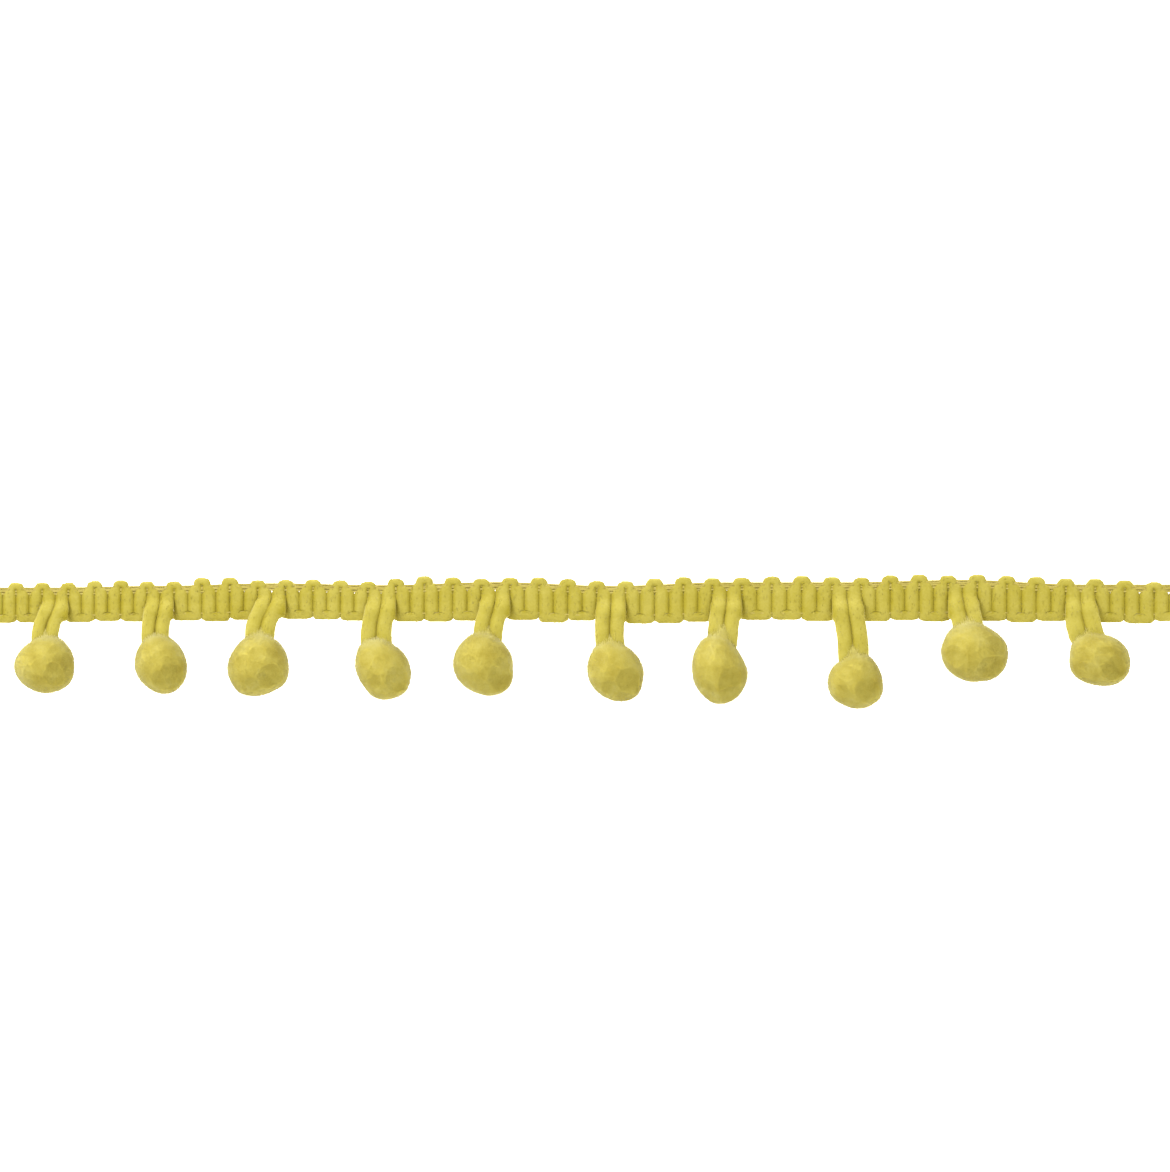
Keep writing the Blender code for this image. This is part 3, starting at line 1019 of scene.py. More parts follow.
@dataclass
class GimpCord:
    """The soft cord in its braid and long loops, dented by the stitches and fuzzy all over.

    Swells, fills and room shares are in halves of the distance between two legs, and the strand's
    shares are of its length.
    """

    layout: BraidLayout
    finish: YarnFinish
    # Its rings and steps.
    ring_step: float = 0.26
    sides: int = 20
    arc_steps: int = 20
    shoulder_steps: int = 6
    strand_steps: int = 24
    # Its legs and turns in the braid.
    leg_swell: float = 1.42
    room_share: float = 1.035
    turn_room: float = 2.0
    turn_slim: float = 0.88
    inner_swell: float = 1.15
    corner_swell: float = 0.7
    corner_room: float = 0.3
    scallop: TurnShape = TurnShape(fill=0.66, deep=0.6, square=0.7, waist=0.54, shoulder=0.8)
    dome_reach: float = 1.17
    dome_high: float = 0.75
    dome_corner: float = 0.78
    dome_square: float = 5.0
    arch_over: float = 1.65
    foot: TurnShape = TurnShape(fill=0.88, deep=0.40, square=0.6)
    foot_start: float = 0.5
    foot_over: float = 1.1
    foot_corner: float = 0.50
    foot_square: float = 7.0
    foot_ceiling: float = 0.08
    foot_lean: float = 0.45
    # Its strands and their turn inside the pompom.
    bend_at: float = 0.25
    bend_share: float = 0.52
    leave_share: float = 0.22
    arrive_share: float = 0.50
    free_from: float = 0.1
    free_rate: float = 1.6
    strand_swell: float = 1.10
    sink_in: float = 0.9
    hidden_fill: float = 0.9
    lean_room: float = 2.0
    spill_start: float = 0.1
    spill_over: float = 0.5
    # How much wider the painted crease shade grows for each millimetre of spill.
    spill_painted_shade: float = 0.7
    # Its section.
    face_thick: float = 0.92
    back_thick: float = 1.02
    free_half_thick: float = 0.98
    back_spread: float = 0.05
    back_squareness: float = 0.65
    back_dent: float = 0.35
    dent_width: float = 0.055
    groove_count: int = 5
    groove_depth: float = 0.03
    groove_turn: float = 0.55
    lump: float = 0.07
    lump_length: float = 1.3
    # How far in from a wall the creases are painted in shade.
    painted_crease_wide: float = 0.72
    # Its fuzz.
    fuzz: FibreCover = CORD_FUZZ
    fuzz_lay: float = 0.72

    def arc(self) -> list[tuple[float, float]]:
        """Returns the cosine and sine of each step of a turn, from its left leg to its right."""
        angles = [math.pi * (1 - n / self.arc_steps) for n in range(self.arc_steps + 1)]
        return [(math.cos(angle), max(math.sin(angle), 0.0)) for angle in angles]

    def scallop_turn(self, turn: Turn) -> list[CordPoint]:
        """One scallop of the cord, flat in the braid.

        Args:
            turn: its place.

        Returns:
            Its points from the left leg, whose shoulder closes in, to the right one.
        """
        shape, half = self.scallop, turn.half
        base = turn.top - (shape.deep + shape.fill) * half
        room = half * self.room_share
        cell = TurnCell(
            x=turn.x,
            edge=turn.top,
            side=1,
            left=self.dome_reach * half,
            right=self.dome_reach * half,
            inside=half + room,
            start=self.dome_high,
            over=self.arch_over,
            corner=self.dome_corner,
            square=self.dome_square,
        )

        def turned(dx: float, dy: float, wide: float, outer: float, inner: float) -> CordPoint:
            """Places a point of the turn, in halves of the legs' distance.

            Args:
                dx: its place right of the turn's middle.
                dy: its place above the legs' ends.
                wide: the cord's half width there.
                outer: the room on the outside of the turn.
                inner: the room on its inside.

            Returns:
                The point.
            """
            place = Vector((turn.x + half * dx, base + half * dy, self.layout.cord_z))
            rooms = (outer * room, inner * room)
            return CordPoint(place, half * wide, *rooms, self.turn_slim, 1.0, cell)

        shoulder = []
        for n in range(self.shoulder_steps):
            t = n / self.shoulder_steps
            waist = lerp(1.0, shape.waist, smooth_step(t))
            # 6 * t * (1 - t) is how steeply smooth_step rises at t.
            steep = (1.0 - shape.waist) * 6 * t * (1 - t) / shape.shoulder
            inner = waist * math.hypot(1.0, steep)
            swell = lerp(self.leg_swell, shape.fill, smooth_step(t))
            wide = max(swell, self.inner_swell * inner)
            shoulder.append((waist, (t - 1) * shape.shoulder, wide, 1.0 + t, inner))
        points = [turned(-across, *flank) for across, *flank in shoulder]
        for c, s in self.arc():
            across = signed_power(c, shape.square) * shape.waist
            wide = shape.fill + self.corner_swell * (2 * s * c) ** 2
            high = shape.deep * s**shape.square
            points.append(turned(across, high, wide, self.turn_room, shape.waist))
        return points + [turned(*flank) for flank in shoulder[::-1]]

    def foot_turn(self, foot: Foot, half: float, leans: tuple[float, float]) -> list[CordPoint]:
        """One short foot of the cord, flat in the braid.

        Args:
            foot: its place.
            half: half the distance between its legs.
            leans: how far the strands beside it lean away, on its left and on its right.

        Returns:
            Its points from the left leg to the right one.
        """
        shape = self.foot
        base = foot.low + (shape.deep + shape.fill) * half
        room = half * self.room_share
        ceiling = base + self.foot_ceiling * half
        swells = [self.foot_lean * max(lean, 0.0) for lean in leans]
        cell = TurnCell(
            x=foot.x,
            edge=foot.low,
            side=-1,
            left=half + room + swells[0],
            right=half + room + swells[1],
            inside=half + room,
            start=self.foot_start * half,
            over=self.foot_over * half,
            corner=self.foot_corner,
            square=self.foot_square,
        )
        points = []
        for c, s in self.arc():
            place = Vector((foot.x + half * signed_power(c, shape.square), base, 0.0))
            place.y -= shape.deep * half * s**shape.square
            place.z = self.layout.cord_z
            corner = (2 * s * c) ** 2
            wide = half * (lerp(self.leg_swell, shape.fill, s * s) + self.corner_swell * corner)
            wide += swells[0 if c < 0 else 1] * min(2 * s, 1.0)
            inner = lerp(1.0, self.inner_swell * shape.deep, s * s)
            inner = inner * room * (1 + self.corner_room * corner)
            outer = room * lerp(1.0, self.turn_room, min(4 * s, 1.0))
            slim = lerp(1.0, self.turn_slim, s * s)
            points.append(CordPoint(place, wide, inner, outer, slim, 1.0, cell, ceiling))
        return points

    def strand_line(self, row: Repeat, half: float, side: int) -> list[Vector]:
        """The middle line of one strand of a long loop.

        Args:
            row: the repeat whose pompom it holds.
            half: half the distance between the loop's legs in the braid.
            side: -1 for the left strand and 1 for the right one.

        Returns:
            Its places at even shares, first straight down and then curved to the neck.
        """
        layout = self.layout
        ball = BallFrame.of(row, layout)
        rise_from = layout.row_y(row.loop_x, layout.head_share) - layout.rise_below_head
        rise_to = layout.row_y(row.loop_x, layout.foot_share) + layout.rise_above_foot
        start = Vector((row.loop_x + side * half, rise_from, layout.cord_z))
        bend = Vector((start.x, layout.row_y(row.loop_x, self.bend_share), start.z))
        down = (Vector((0.0, -1.0, 0.0)) - ball.along).normalized()
        neck = Vector((row.neck_x + side * row.spread / 2, row.neck_y, layout.neck_z))
        end = neck + down * self.sink_in
        span = (end - bend).length
        leave = bend - Vector((0, self.leave_share * span, 0))
        arrive = end - down * (self.arrive_share * span)
        places = []
        for n in range(self.strand_steps + 1):
            t = n / self.strand_steps
            if t < self.bend_at:
                point = start.lerp(bend, t / self.bend_at)
            else:
                u = (t - self.bend_at) / (1 - self.bend_at)
                middle = leave.lerp(arrive, u)
                point = bend.lerp(leave, u).lerp(middle, u)
                point = point.lerp(middle.lerp(arrive.lerp(end, u), u), u)
            rise = smooth_step((rise_from - point.y) / (rise_from - rise_to))
            settle = smooth_step((rise_to - point.y) / (rise_to - end.y))
            point.z = lerp(lerp(layout.cord_z, layout.over_foot_z, rise), end.z, settle)
            places.append(point)
        return places

    def strand(self, row: Repeat, half: float, side: int) -> list[CordPoint]:
        """One strand of a long loop.

        Args:
            row: the repeat whose pompom it holds.
            half: half the distance between the loop's legs in the braid.
            side: -1 for the left strand and 1 for the right one.

        Returns:
            Its points from just under the head stitches to inside the pompom's neck.
        """
        line = self.strand_line(row, half, side)
        leg_x = line[0].x
        points = []
        for n, place in enumerate(line):
            free = smooth_step((n / self.strand_steps - self.free_from) * self.free_rate)
            reach = lerp(half, row.spread / 2, free)
            inner = reach * self.room_share
            wide = reach * lerp(self.leg_swell, self.strand_swell, free)
            ahead = (line[min(n + 1, len(line) - 1)] - line[max(n - 1, 0)]).to_2d().normalized()
            edge = place.to_2d() + side * inner * Vector((-ahead.y, ahead.x))
            beside = smooth_step((edge.y - row.foot - self.spill_start) / self.spill_over)
            lean = side * (place.x - leg_x)
            outer = inner + lerp(reach, max(0.0, self.lean_room * lean), beside)
            spill = max(half * self.room_share - side * (edge.x - leg_x), 0.0) * beside
            points.append(CordPoint(place, wide, inner, outer, 1.0, 1.0 - free, spill=spill))
        return points

    def long_loop(self, row: Repeat, half: float) -> list[CordPoint]:
        """One long loop of the cord, which turns round inside its pompom.

        Args:
            row: the repeat whose pompom it holds.
            half: half the distance between the loop's legs in the braid.

        Returns:
            Its points down the left strand, round the turn and up the right one.
        """
        ball = BallFrame.of(row, self.layout)
        radius = row.spread / 2
        turn = []
        for n in range(self.arc_steps + 1):
            angle = math.pi * (1 + n / self.arc_steps)
            place = ball.centre + ball.across * (radius * math.cos(angle))
            place += ball.along * (radius * math.sin(angle))
            turn.append(CordPoint(place, self.hidden_fill * radius, radius, radius, 1.0, 0.0))
        return self.strand(row, half, -1) + turn + self.strand(row, half, 1)[::-1]

    def cut_end(self, turn: Turn, side: int) -> CordPoint:
        """One cut end of the cord, at the foot of a straight leg.

        Args:
            turn: the trim's first or last scallop.
            side: -1 for the scallop's left leg and 1 for its right one.

        Returns:
            The point, pressed against its neighbour half a pitch away.
        """
        y = self.layout.row_y(turn.x, self.layout.foot_share)
        place = Vector((turn.x + side * turn.half, y, self.layout.cord_z))
        room = turn.half * self.room_share
        return CordPoint(place, turn.half * self.leg_swell, room, room, 1.0, 1.0)

    def corners(self) -> list[CordPoint]:
        """Follows the cord through every scallop and foot.

        Returns:
            The points of the whole cord, from cut end to cut end, unevenly spaced.
        """
        feet, turns = self.layout.feet(), self.layout.turns()
        route = [self.cut_end(turns[0], -1)]
        for number, turn in enumerate(turns):
            route += self.scallop_turn(turn)
            if number == len(feet):
                break
            foot = feet[number]
            half_leg = (turn.half + turns[number + 1].half) / 2
            if foot.repeat:
                route += self.long_loop(foot.repeat, half_leg)
                continue
            beside = (feet[n].repeat for n in (max(number - 1, 0), min(number + 1, len(feet) - 1)))
            left, right = (row.neck_x - row.loop_x if row else 0.0 for row in beside)
            route += self.foot_turn(foot, half_leg, (-left, right))
        route.append(self.cut_end(turns[-1], 1))
        return route

    def centreline(self) -> list[CordPoint]:
        """Walks along the cord in even steps.

        Returns:
            Its point at each step.
        """
        corners = self.corners()
        points = [corners[0]]
        left_over = 0.0
        for a, b in zip(corners, corners[1:]):
            span = (b.place - a.place).length
            along = self.ring_step - left_over
            while along <= span:
                points.append(a.towards(b, along / span))
                along += self.ring_step
            left_over = span - (along - self.ring_step)
        points.append(corners[-1])
        return points

    def dent(self, point: CordPoint) -> float:
        """Measures how deep the stitch rows press the cord's face.

        Args:
            point: the place on the cord.

        Returns:
            The depth there.
        """
        share = self.layout.share_at(point.place.x, point.place.y)
        deepest = 0.0
        for row in STITCH_ROWS:
            held = point.bound if row.under_strands else 1.0
            near = math.exp(-(((share - row.share) / self.dent_width) ** 2))
            deepest = max(deepest, row.sink * near * held)
        return deepest

    def ring(self, number: int, point: CordPoint, tangent: Vector) -> list[tuple[Vector, float]]:
        """One ring of the cord's skin.

        Args:
            number: its count along the cord, which turns the plies.
            point: its middle.
            tangent: the cord's direction there.

        Returns:
            Its points in order round the cord, each with how far it lies out of the painted
            crease shade: 0 in the crease beside a neighbour, painted in shade, and 1 on the face.
        """
        side = tangent.cross(UP).normalized()
        up = side.cross(tangent).normalized()
        dent = self.dent(point)
        face = lerp(self.free_half_thick, self.face_thick, point.bound) * point.slim
        back = lerp(self.free_half_thick, self.back_thick, point.bound) * point.slim
        squareness = lerp(1.0, self.back_squareness, point.bound)
        turn = self.groove_turn * number * self.ring_step
        # The right wall's painted crease shade reaches further where a leaning strand's spill
        # leaves room.
        right_painted_crease = self.painted_crease_wide + self.spill_painted_shade * point.spill
        points = []
        for n in range(self.sides):
            angle = math.tau * n / self.sides
            c, s = math.cos(angle), math.sin(angle)
            groove = 1 + self.groove_depth * math.cos(self.groove_count * angle + turn)
            spread = 1 + self.back_spread * point.bound * smooth_step(-2 * s)
            x = signed_power(c, squareness if s < 0 else 1.0) * point.wide * spread * groove
            x = min(max(x, -point.left), point.right)
            z = s * (face if s > 0 else back) * groove
            z -= dent * (max(s, 0.0) + self.back_dent * min(s, 0.0))
            place = point.place + side * x + up * z
            # Painted crease shade: dark at each wall, fading out over the crease's width.
            from_left = x + point.left
            # Inside a foot, painted crease shade from the left wall lies only within that width of
            # the foot's middle.
            if point.ceiling is not None:
                from_left = max(from_left, abs(place.x - point.cell.x))
            out_of_painted_crease = min(from_left / self.painted_crease_wide, (point.right - x) / right_painted_crease)
            if x > 0 and point.spill > 0:
                share = min(x / min(point.right, point.wide), 1.0)
                place.x += math.copysign(point.spill * share**2, side.x)
            swell = noise.noise(place / self.lump_length) * self.lump
            place += (place - point.place).normalized() * swell
            if point.cell:
                place = point.cell.hold(place)
            if point.ceiling is not None:
                place.y = min(place.y, point.ceiling)
            points.append((place, smooth_step(out_of_painted_crease)))
        return points

    def build(self) -> bpy.types.Object:
        """Builds the cord's skin as a tube of rings, then its fuzz.

        Returns:
            The finished piece, in place of the solid gimp_cord.
        """
        line = self.centreline()
        bm = bmesh.new()
        rings, combs, out_of_painted_creases = [], [], []
        for n, point in enumerate(line):
            before = line[max(n - 1, 0)].place
            after = line[min(n + 1, len(line) - 1)].place
            tangent = (after - before).normalized()
            ring = self.ring(n, point, tangent)
            rings.append([bm.verts.new(place * MM) for place, _ in ring])
            out_of_painted_creases += [share for _, share in ring]
            combs += [tangent] * self.sides
        for low, high in zip(rings, rings[1:]):
            for a, b, c, d in zip(low, low[1:] + low[:1], high[1:] + high[:1], high):
                bm.faces.new((a, b, c, d))
        bm.faces.new(rings[0][::-1])
        bm.faces.new(rings[-1])
        bmesh.ops.recalc_face_normals(bm, faces=bm.faces)
        mesh = bpy.data.meshes.new("gimp_cord_soft")
        bm.to_mesh(mesh)
        bm.free()
        store(mesh, "comb", combs)
        store(mesh, "lay", [self.fuzz_lay] * len(combs))
        # The share out of painted crease shade, which the yarn tone reads.
        store(mesh, "tip", out_of_painted_creases)
        cord = add_object(mesh.name, mesh)
        self.fuzz.cover(cord, self.layout.seed)
        return dress(cord, self.finish, "gimp_cord")


# ---- The stitches ----


@dataclass
class Stitching:
    """One row of chain stitches round the cord.

    On the face, the links of the two upper rows lie in the gaps between the legs, behind the
    arches of the scallops, and the foot row's lie over the legs. On the back, all lie level under
    the legs.
    """

    layout: BraidLayout
    row: StitchRow
    finish: YarnFinish
    cord_top: float = 2.32
    back_z: float = 0.22
    under_strand_z: float = 0.95
    flatness: float = 0.5
    overlap: float = 0.5
    pinch: float = 0.1
    dip: float = 0.25
    link_points: int = 16
    link_square: float = 0.6
    link_tilt: float = 0.06
    back_tilt_share: float = 0.5
    end_start: float = 0.35
    end_square: float = 0.75
    fuzz: FibreCover = THREAD_FUZZ
    fuzz_lay: float = 0.6

    @property
    def face_z(self) -> float:
        """Returns the height of the thread on the cord's face."""
        return self.cord_top - self.row.sink - self.row.bury

    def legs(self) -> list[tuple[float, float, bool]]:
        """Finds the cord's legs, two to each scallop.

        Returns:
            Each leg's x, its half pitch, and whether it belongs to a long loop.
        """
        feet = self.layout.feet()
        legs = []
        for number, turn in enumerate(self.layout.turns()):
            left_long = number > 0 and feet[number - 1].repeat is not None
            right_long = number < len(feet) and feet[number].repeat is not None
            legs.append((turn.x - turn.half, turn.half, left_long))
            legs.append((turn.x + turn.half, turn.half, right_long))
        return legs

    def link(self, x: float, half: float, z: float, on_back: bool) -> list[Vector]:
        """One chain stitch.

        Args:
            x: its middle.
            half: half the distance from leg to leg.
            z: the height of its thread in the middle.
            on_back: whether the stitch lies under the braid, where it is level.

        Returns:
            The closed loop of the thread's middle line.
        """
        reach = half + self.overlap
        wide = self.row.wide / 2 - self.row.thread
        points = []
        for n in range(self.link_points):
            angle = math.tau * n / self.link_points
            c, s = math.cos(angle), math.sin(angle)
            px = x + reach * c
            across = signed_power(s, self.link_square) * wide * (1.0 - self.pinch * c)
            py = self.layout.row_y(px, self.row.share) + across
            drop = 0.0 if on_back else self.dip * c * c
            tilt = self.link_tilt * c * (self.back_tilt_share if on_back else 1.0)
            points.append(Vector((px, py, z - drop + tilt)))
        return points

    def core_thread(self) -> list[Vector]:
        """Runs the straight thread inside the stitches of the face.

        Returns:
            Its places from end to end, lower between the legs.
        """
        points = []
        for x, half, _ in self.legs():
            for place, height in ((x, self.face_z), (x + half, self.face_z - self.dip)):
                points.append(Vector((place, self.layout.row_y(place, self.row.share), height)))
        return points

    def turn_at_end(self, leg_x: float, side: int) -> list[Vector]:
        """Takes the thread round an outermost leg.

        Args:
            leg_x: the leg's middle.
            side: -1 at the trim's left end and 1 at its right.

        Returns:
            Its places from the face to the back.
        """
        middle = (self.face_z + self.back_z) / 2
        radius = (self.face_z - self.back_z) / 2
        points = []
        for n in range(self.link_points // 2 + 1):
            angle = math.pi * n / (self.link_points // 2)
            c, s = math.cos(angle), max(math.sin(angle), 0.0)
            x = leg_x + side * (self.end_start + radius * s**self.end_square)
            y = self.layout.row_y(x, self.row.share)
            points.append(Vector((x, y, middle + radius * signed_power(c, self.end_square))))
        return points

    def add_spline(self, curve: bpy.types.Curve, points: list[Vector], closed: bool) -> None:
        """Adds one run of thread, drawn out in height until it is pressed flat.

        Args:
            curve: the row's curve.
            points: the thread's middle line.
            closed: whether it is a loop.
        """
        spline = curve.splines.new("POLY")
        spline.points.add(len(points) - 1)
        for slot, place in zip(spline.points, points):
            slot.co = (place.x * MM, place.y * MM, place.z * MM / self.flatness, 1.0)
        spline.use_cyclic_u = closed

    def lay_thread(self) -> bpy.types.Curve:
        """Lays every stitch of the row.

        Returns:
            The curve of its thread, with its thickness.
        """
        curve = bpy.data.curves.new(self.row.name, "CURVE")
        curve.dimensions = "3D"
        curve.bevel_depth = self.row.thread * MM
        curve.bevel_resolution = 1
        curve.use_fill_caps = True
        legs, low = self.legs(), self.row.under_strands
        for x, half, is_long in legs:
            z = self.under_strand_z if is_long and low else self.face_z
            middle = x if low else x + half
            if middle < legs[-1][0]:
                self.add_spline(curve, self.link(middle, half, z, False), True)
            self.add_spline(curve, self.link(x, half, self.back_z, True), True)
        if not low:
            self.add_spline(curve, self.core_thread(), False)
        for leg, side in ((legs[0], -1), (legs[-1], 1)):
            self.add_spline(curve, self.turn_at_end(leg[0], side), False)
        return curve

    def build(self) -> bpy.types.Object:
        """Makes the row's thread a mesh, presses it flat and covers it with fuzz.

        Returns:
            The finished piece.
        """
        stitches = add_object(self.row.name, self.lay_thread())
        select_only(stitches)
        bpy.ops.object.convert(target="MESH")
        stitches = bpy.context.object
        bpy.ops.object.mode_set(mode="EDIT")
        bpy.ops.mesh.select_all(action="SELECT")
        flat = (1.0, 1.0, self.flatness)
        bpy.ops.transform.resize(value=flat, center_override=(0.0, 0.0, 0.0))
        bpy.ops.object.mode_set(mode="OBJECT")
        count = len(stitches.data.vertices)
        store(stitches.data, "comb", [Vector((1.0, 0.0, 0.0))] * count)
        store(stitches.data, "lay", [self.fuzz_lay] * count)
        self.fuzz.cover(stitches, self.layout.seed)
        return dress(stitches, self.finish, *self.row.nodes)


# ---- The pompoms ----


@dataclass
class Pompom:
    """A dense sheared pompom: its core, its flats and lumps, and its pile."""

    number: int
    row: Repeat
    layout: BraidLayout
    finish: YarnFinish
    # Its core and neck.
    segments: int = 40
    rings: int = 34
    neck_rings: int = 7
    shoulder: float = math.radians(26)
    flare_share: float = 0.6
    neck_fillet: float = 0.15
    top_fillet: float = 0.6
    neck_overlap: float = 0.3
    neck_growth: float = 1.3
    rim_share: float = 0.8
    strand_half_wide: float = 0.75
    neck_side: float = 0.05
    neck_thick: tuple[float, float] = (0.25, 0.95)
    bottom_fade: float = 0.1
    parked: float = 100.0
    pole: float = 0.01
    same_height: float = 0.001
    outline_step: int = 30
    # Its surface.
    voxel: float = 0.27
    smooth_factor: float = 0.5
    smooth_rounds: int = 6
    flats: int = 12
    flat_depth: float = 0.55
    flat_range: tuple[float, float] = (0.4, 1.0)
    flat_tilt: float = 0.3
    flat_wander: float = 0.15
    flat_firmness: float = 0.9
    flat_reach: float = 0.5
    lumps: tuple[float, float] = (0.18, 2.6)
    clumps: tuple[float, float] = (0.07, 0.8)
    # Its pile.
    pile_height: float = 0.14
    comb_start: float = 0.62
    comb_lay: float = 0.9
    pile: FibreCover = POMPOM_PILE
    soft_shading: float = 0.8

    # The two flats that every pompom has, low on its right and high on its left, and how deep.
    MAIN_FLATS = (((0.46, -0.38, 0.76), 0.75), ((-0.5, 0.2, 0.85), 0.35))

    @property
    def name(self) -> str:
        """Returns the name of the solid that it stands for."""
        return f"pompom_{self.number:02d}"

    def ring_size(self, lip: float, ring: int) -> tuple[float, float, float]:
        """One ring of the core, seen along the pompom's axis.

        Args:
            lip: distance from the ball's middle to the end of its neck.
            ring: 0 is the middle of the neck's end, 1 its rim, 2 and 3 the neck.

        Returns:
            Place along the axis, half width and half depth.
        """
        row = self.row
        half_long = row.long / 2
        done = max(ring - self.neck_rings, 0) / (self.rings - self.neck_rings)
        place = half_long * math.cos(lerp(self.shoulder, math.pi, done))
        if ring < self.neck_rings:
            place = lerp(lip, place, max(ring - 1, 0) / (self.neck_rings - 1))
        growth = smooth_step((lip - place) / self.neck_growth)
        neck_wide = row.spread / 2 + self.strand_half_wide + self.neck_side * growth
        neck_thick = lerp(*self.neck_thick, growth)
        if ring < 2:
            return lip, self.rim_share * neck_wide * ring, neck_thick * ring
        share = min(max(place / half_long, -1.0), 1.0)
        round_off = math.sqrt(1 - share**2)
        ball_wide = row.wide / 2 * round_off
        ball_thick = BallFrame.DEPTH_SHARE * (row.wide + row.long) / 4 * round_off
        fade = smooth_step(share / self.flare_share)
        if fade > 0:
            ball_wide = smooth_max(ball_wide, neck_wide * fade, self.neck_fillet * fade)
            ball_thick = smooth_max(ball_thick, neck_thick * fade, self.top_fillet * fade)
        inset = self.pile_height * growth * smooth_step((share + 1) / self.bottom_fade)
        return place, max(ball_wide - inset, 0.0), max(ball_thick - inset, 0.0)

    def make_core(self, ball: BallFrame) -> bpy.types.Object:
        """Draws a sphere out ring by ring into the ball and its neck, and puts it in place.

        Each ring is parked well above the others once it is done, so that the next one is found
        by its height alone.

        Args:
            ball: the pompom's middle and directions.

        Returns:
            The core.
        """
        bpy.ops.object.select_all(action="DESELECT")
        bpy.ops.mesh.primitive_uv_sphere_add(
            segments=self.segments, ring_count=self.rings, radius=MM
        )
        core = bpy.context.object
        core.name = f"{self.name}_pile"
        bpy.ops.object.mode_set(mode="EDIT")
        bm = bmesh.from_edit_mesh(core.data)
        heights = sorted({round(v.co.z / MM, 4) for v in bm.verts}, reverse=True)
        for ring, height in enumerate(heights):
            bpy.ops.mesh.select_all(action="DESELECT")
            bm = bmesh.from_edit_mesh(core.data)
            for vert in bm.verts:
                vert.select = abs(vert.co.z / MM - height) < self.same_height
            bm.select_flush_mode()
            radius = math.sqrt(max(1 - height**2, 0.0))
            place, wide, thick = self.ring_size(ball.lip + self.neck_overlap, ring)
            if radius > self.pole:
                size = (wide / radius, thick / radius, 1.0)
                bpy.ops.transform.resize(value=size, center_override=(0, 0, height * MM))
            bpy.ops.transform.translate(value=(0.0, 0.0, (place - height + self.parked) * MM))
        bpy.ops.mesh.select_all(action="SELECT")
        bpy.ops.transform.translate(value=(0.0, 0.0, -self.parked * MM))
        bpy.ops.object.mode_set(mode="OBJECT")
        turn = Matrix((ball.across, ball.up * -1.0, ball.along)).transposed()
        core.matrix_world = Matrix.Translation(ball.centre * MM) @ turn.to_4x4()
        select_only(core)
        bpy.ops.object.transform_apply(location=True, rotation=True, scale=True)
        return core

    def outline_factor(self, angle: float) -> float:
        """How far the pompom's outline departs from a plain ellipse.

        Args:
            angle: radians from the pompom's bottom, seen from above.

        Returns:
            The measured reach divided by the ellipse's, eased between the measures.
        """
        row = self.row
        count = 360 // self.outline_step
        factors = [1.0]
        for n, reach in enumerate(row.outline, 1):
            at = math.radians(self.outline_step * n - 180)
            ellipse = math.hypot(math.cos(at) / (row.long / 2), math.sin(at) / (row.wide / 2))
            factors.append(reach * ellipse)
        factors[0] = (factors[1] + factors[-1]) / 2
        step = math.degrees(angle) / self.outline_step + count // 2
        step = min(max(step, 0.0), count - 0.001)
        low = int(step)
        before, start, end, after = (factors[(low + n) % count] for n in range(-1, 3))
        t = step - low
        # A Catmull-Rom curve through the two measures on each side of the angle.
        bend = 2 * before - 5 * start + 4 * end - after + t * (3 * (start - end) + after - before)
        return start + 0.5 * t * (end - before + t * bend)

    def fit_outline(self, core: bpy.types.Object, ball: BallFrame) -> None:
        """Draws the core in or out to the pompom's outline, most at its widest.

        Args:
            core: the core in place.
            ball: the pompom's middle and directions.
        """
        for vert in core.data.vertices:
            out = vert.co / MM - ball.centre
            along, across = out.dot(ball.along), out.dot(ball.across)
            level = (along**2 + across**2) / max(out.length_squared, 1e-9)
            factor = self.outline_factor(math.atan2(across, -along))
            vert.co = (ball.centre + out * (1 + (factor - 1) * level)) * MM

    def soften(self, core: bpy.types.Object) -> None:
        """Evens out the core's mesh, closes its folds, and rounds it.

        Args:
            core: the core in its outline.
        """
        remesh = core.modifiers.new("even", "REMESH")
        remesh.mode = "VOXEL"
        remesh.voxel_size = self.voxel * MM
        apply_modifier(core, remesh)
        smooth = core.modifiers.new("rounded", "SMOOTH")
        smooth.factor = self.smooth_factor
        smooth.iterations = self.smooth_rounds
        apply_modifier(core, smooth)

    def shear(self, core: bpy.types.Object, ball: BallFrame) -> None:
        """Presses the shears' shallow flats into the face of the pompom, and its rest flat.

        Args:
            core: the even core.
            ball: the pompom's middle and directions.
        """
        chance = random.Random(self.layout.seed * 100 + self.number)
        radius = (self.row.wide + self.row.long) / 4 - self.pile_height
        places = np.empty(len(core.data.vertices) * 3)
        core.data.vertices.foreach_get("co", places)
        out = places.reshape(-1, 3) / MM - np.array(ball.centre)
        cuts = [(Vector(side), depth) for side, depth in self.MAIN_FLATS]
        for _ in range(self.flats):
            side = Vector([chance.gauss(0, 1) for _ in range(3)]).normalized()
            depth = chance.uniform(*self.flat_range) * self.flat_depth
            cuts.append((side + UP * self.flat_tilt, depth))
        for side, depth in cuts:
            spans = [chance.uniform(-self.flat_wander, self.flat_wander) for _ in range(3)]
            side = (side.normalized() + Vector(spans)).normalized()
            if side.dot(ball.along) > self.flat_reach or abs(side.z) < self.flat_reach:
                continue
            over = np.maximum(out @ np.array(side) - (radius - depth), 0.0)
            out -= np.outer(over, np.array(side)) * self.flat_firmness
        places = out + np.array(ball.centre)
        places[:, 2] = np.maximum(places[:, 2], self.pile_height)
        core.data.vertices.foreach_set("co", (places * MM).ravel())
        core.data.update()

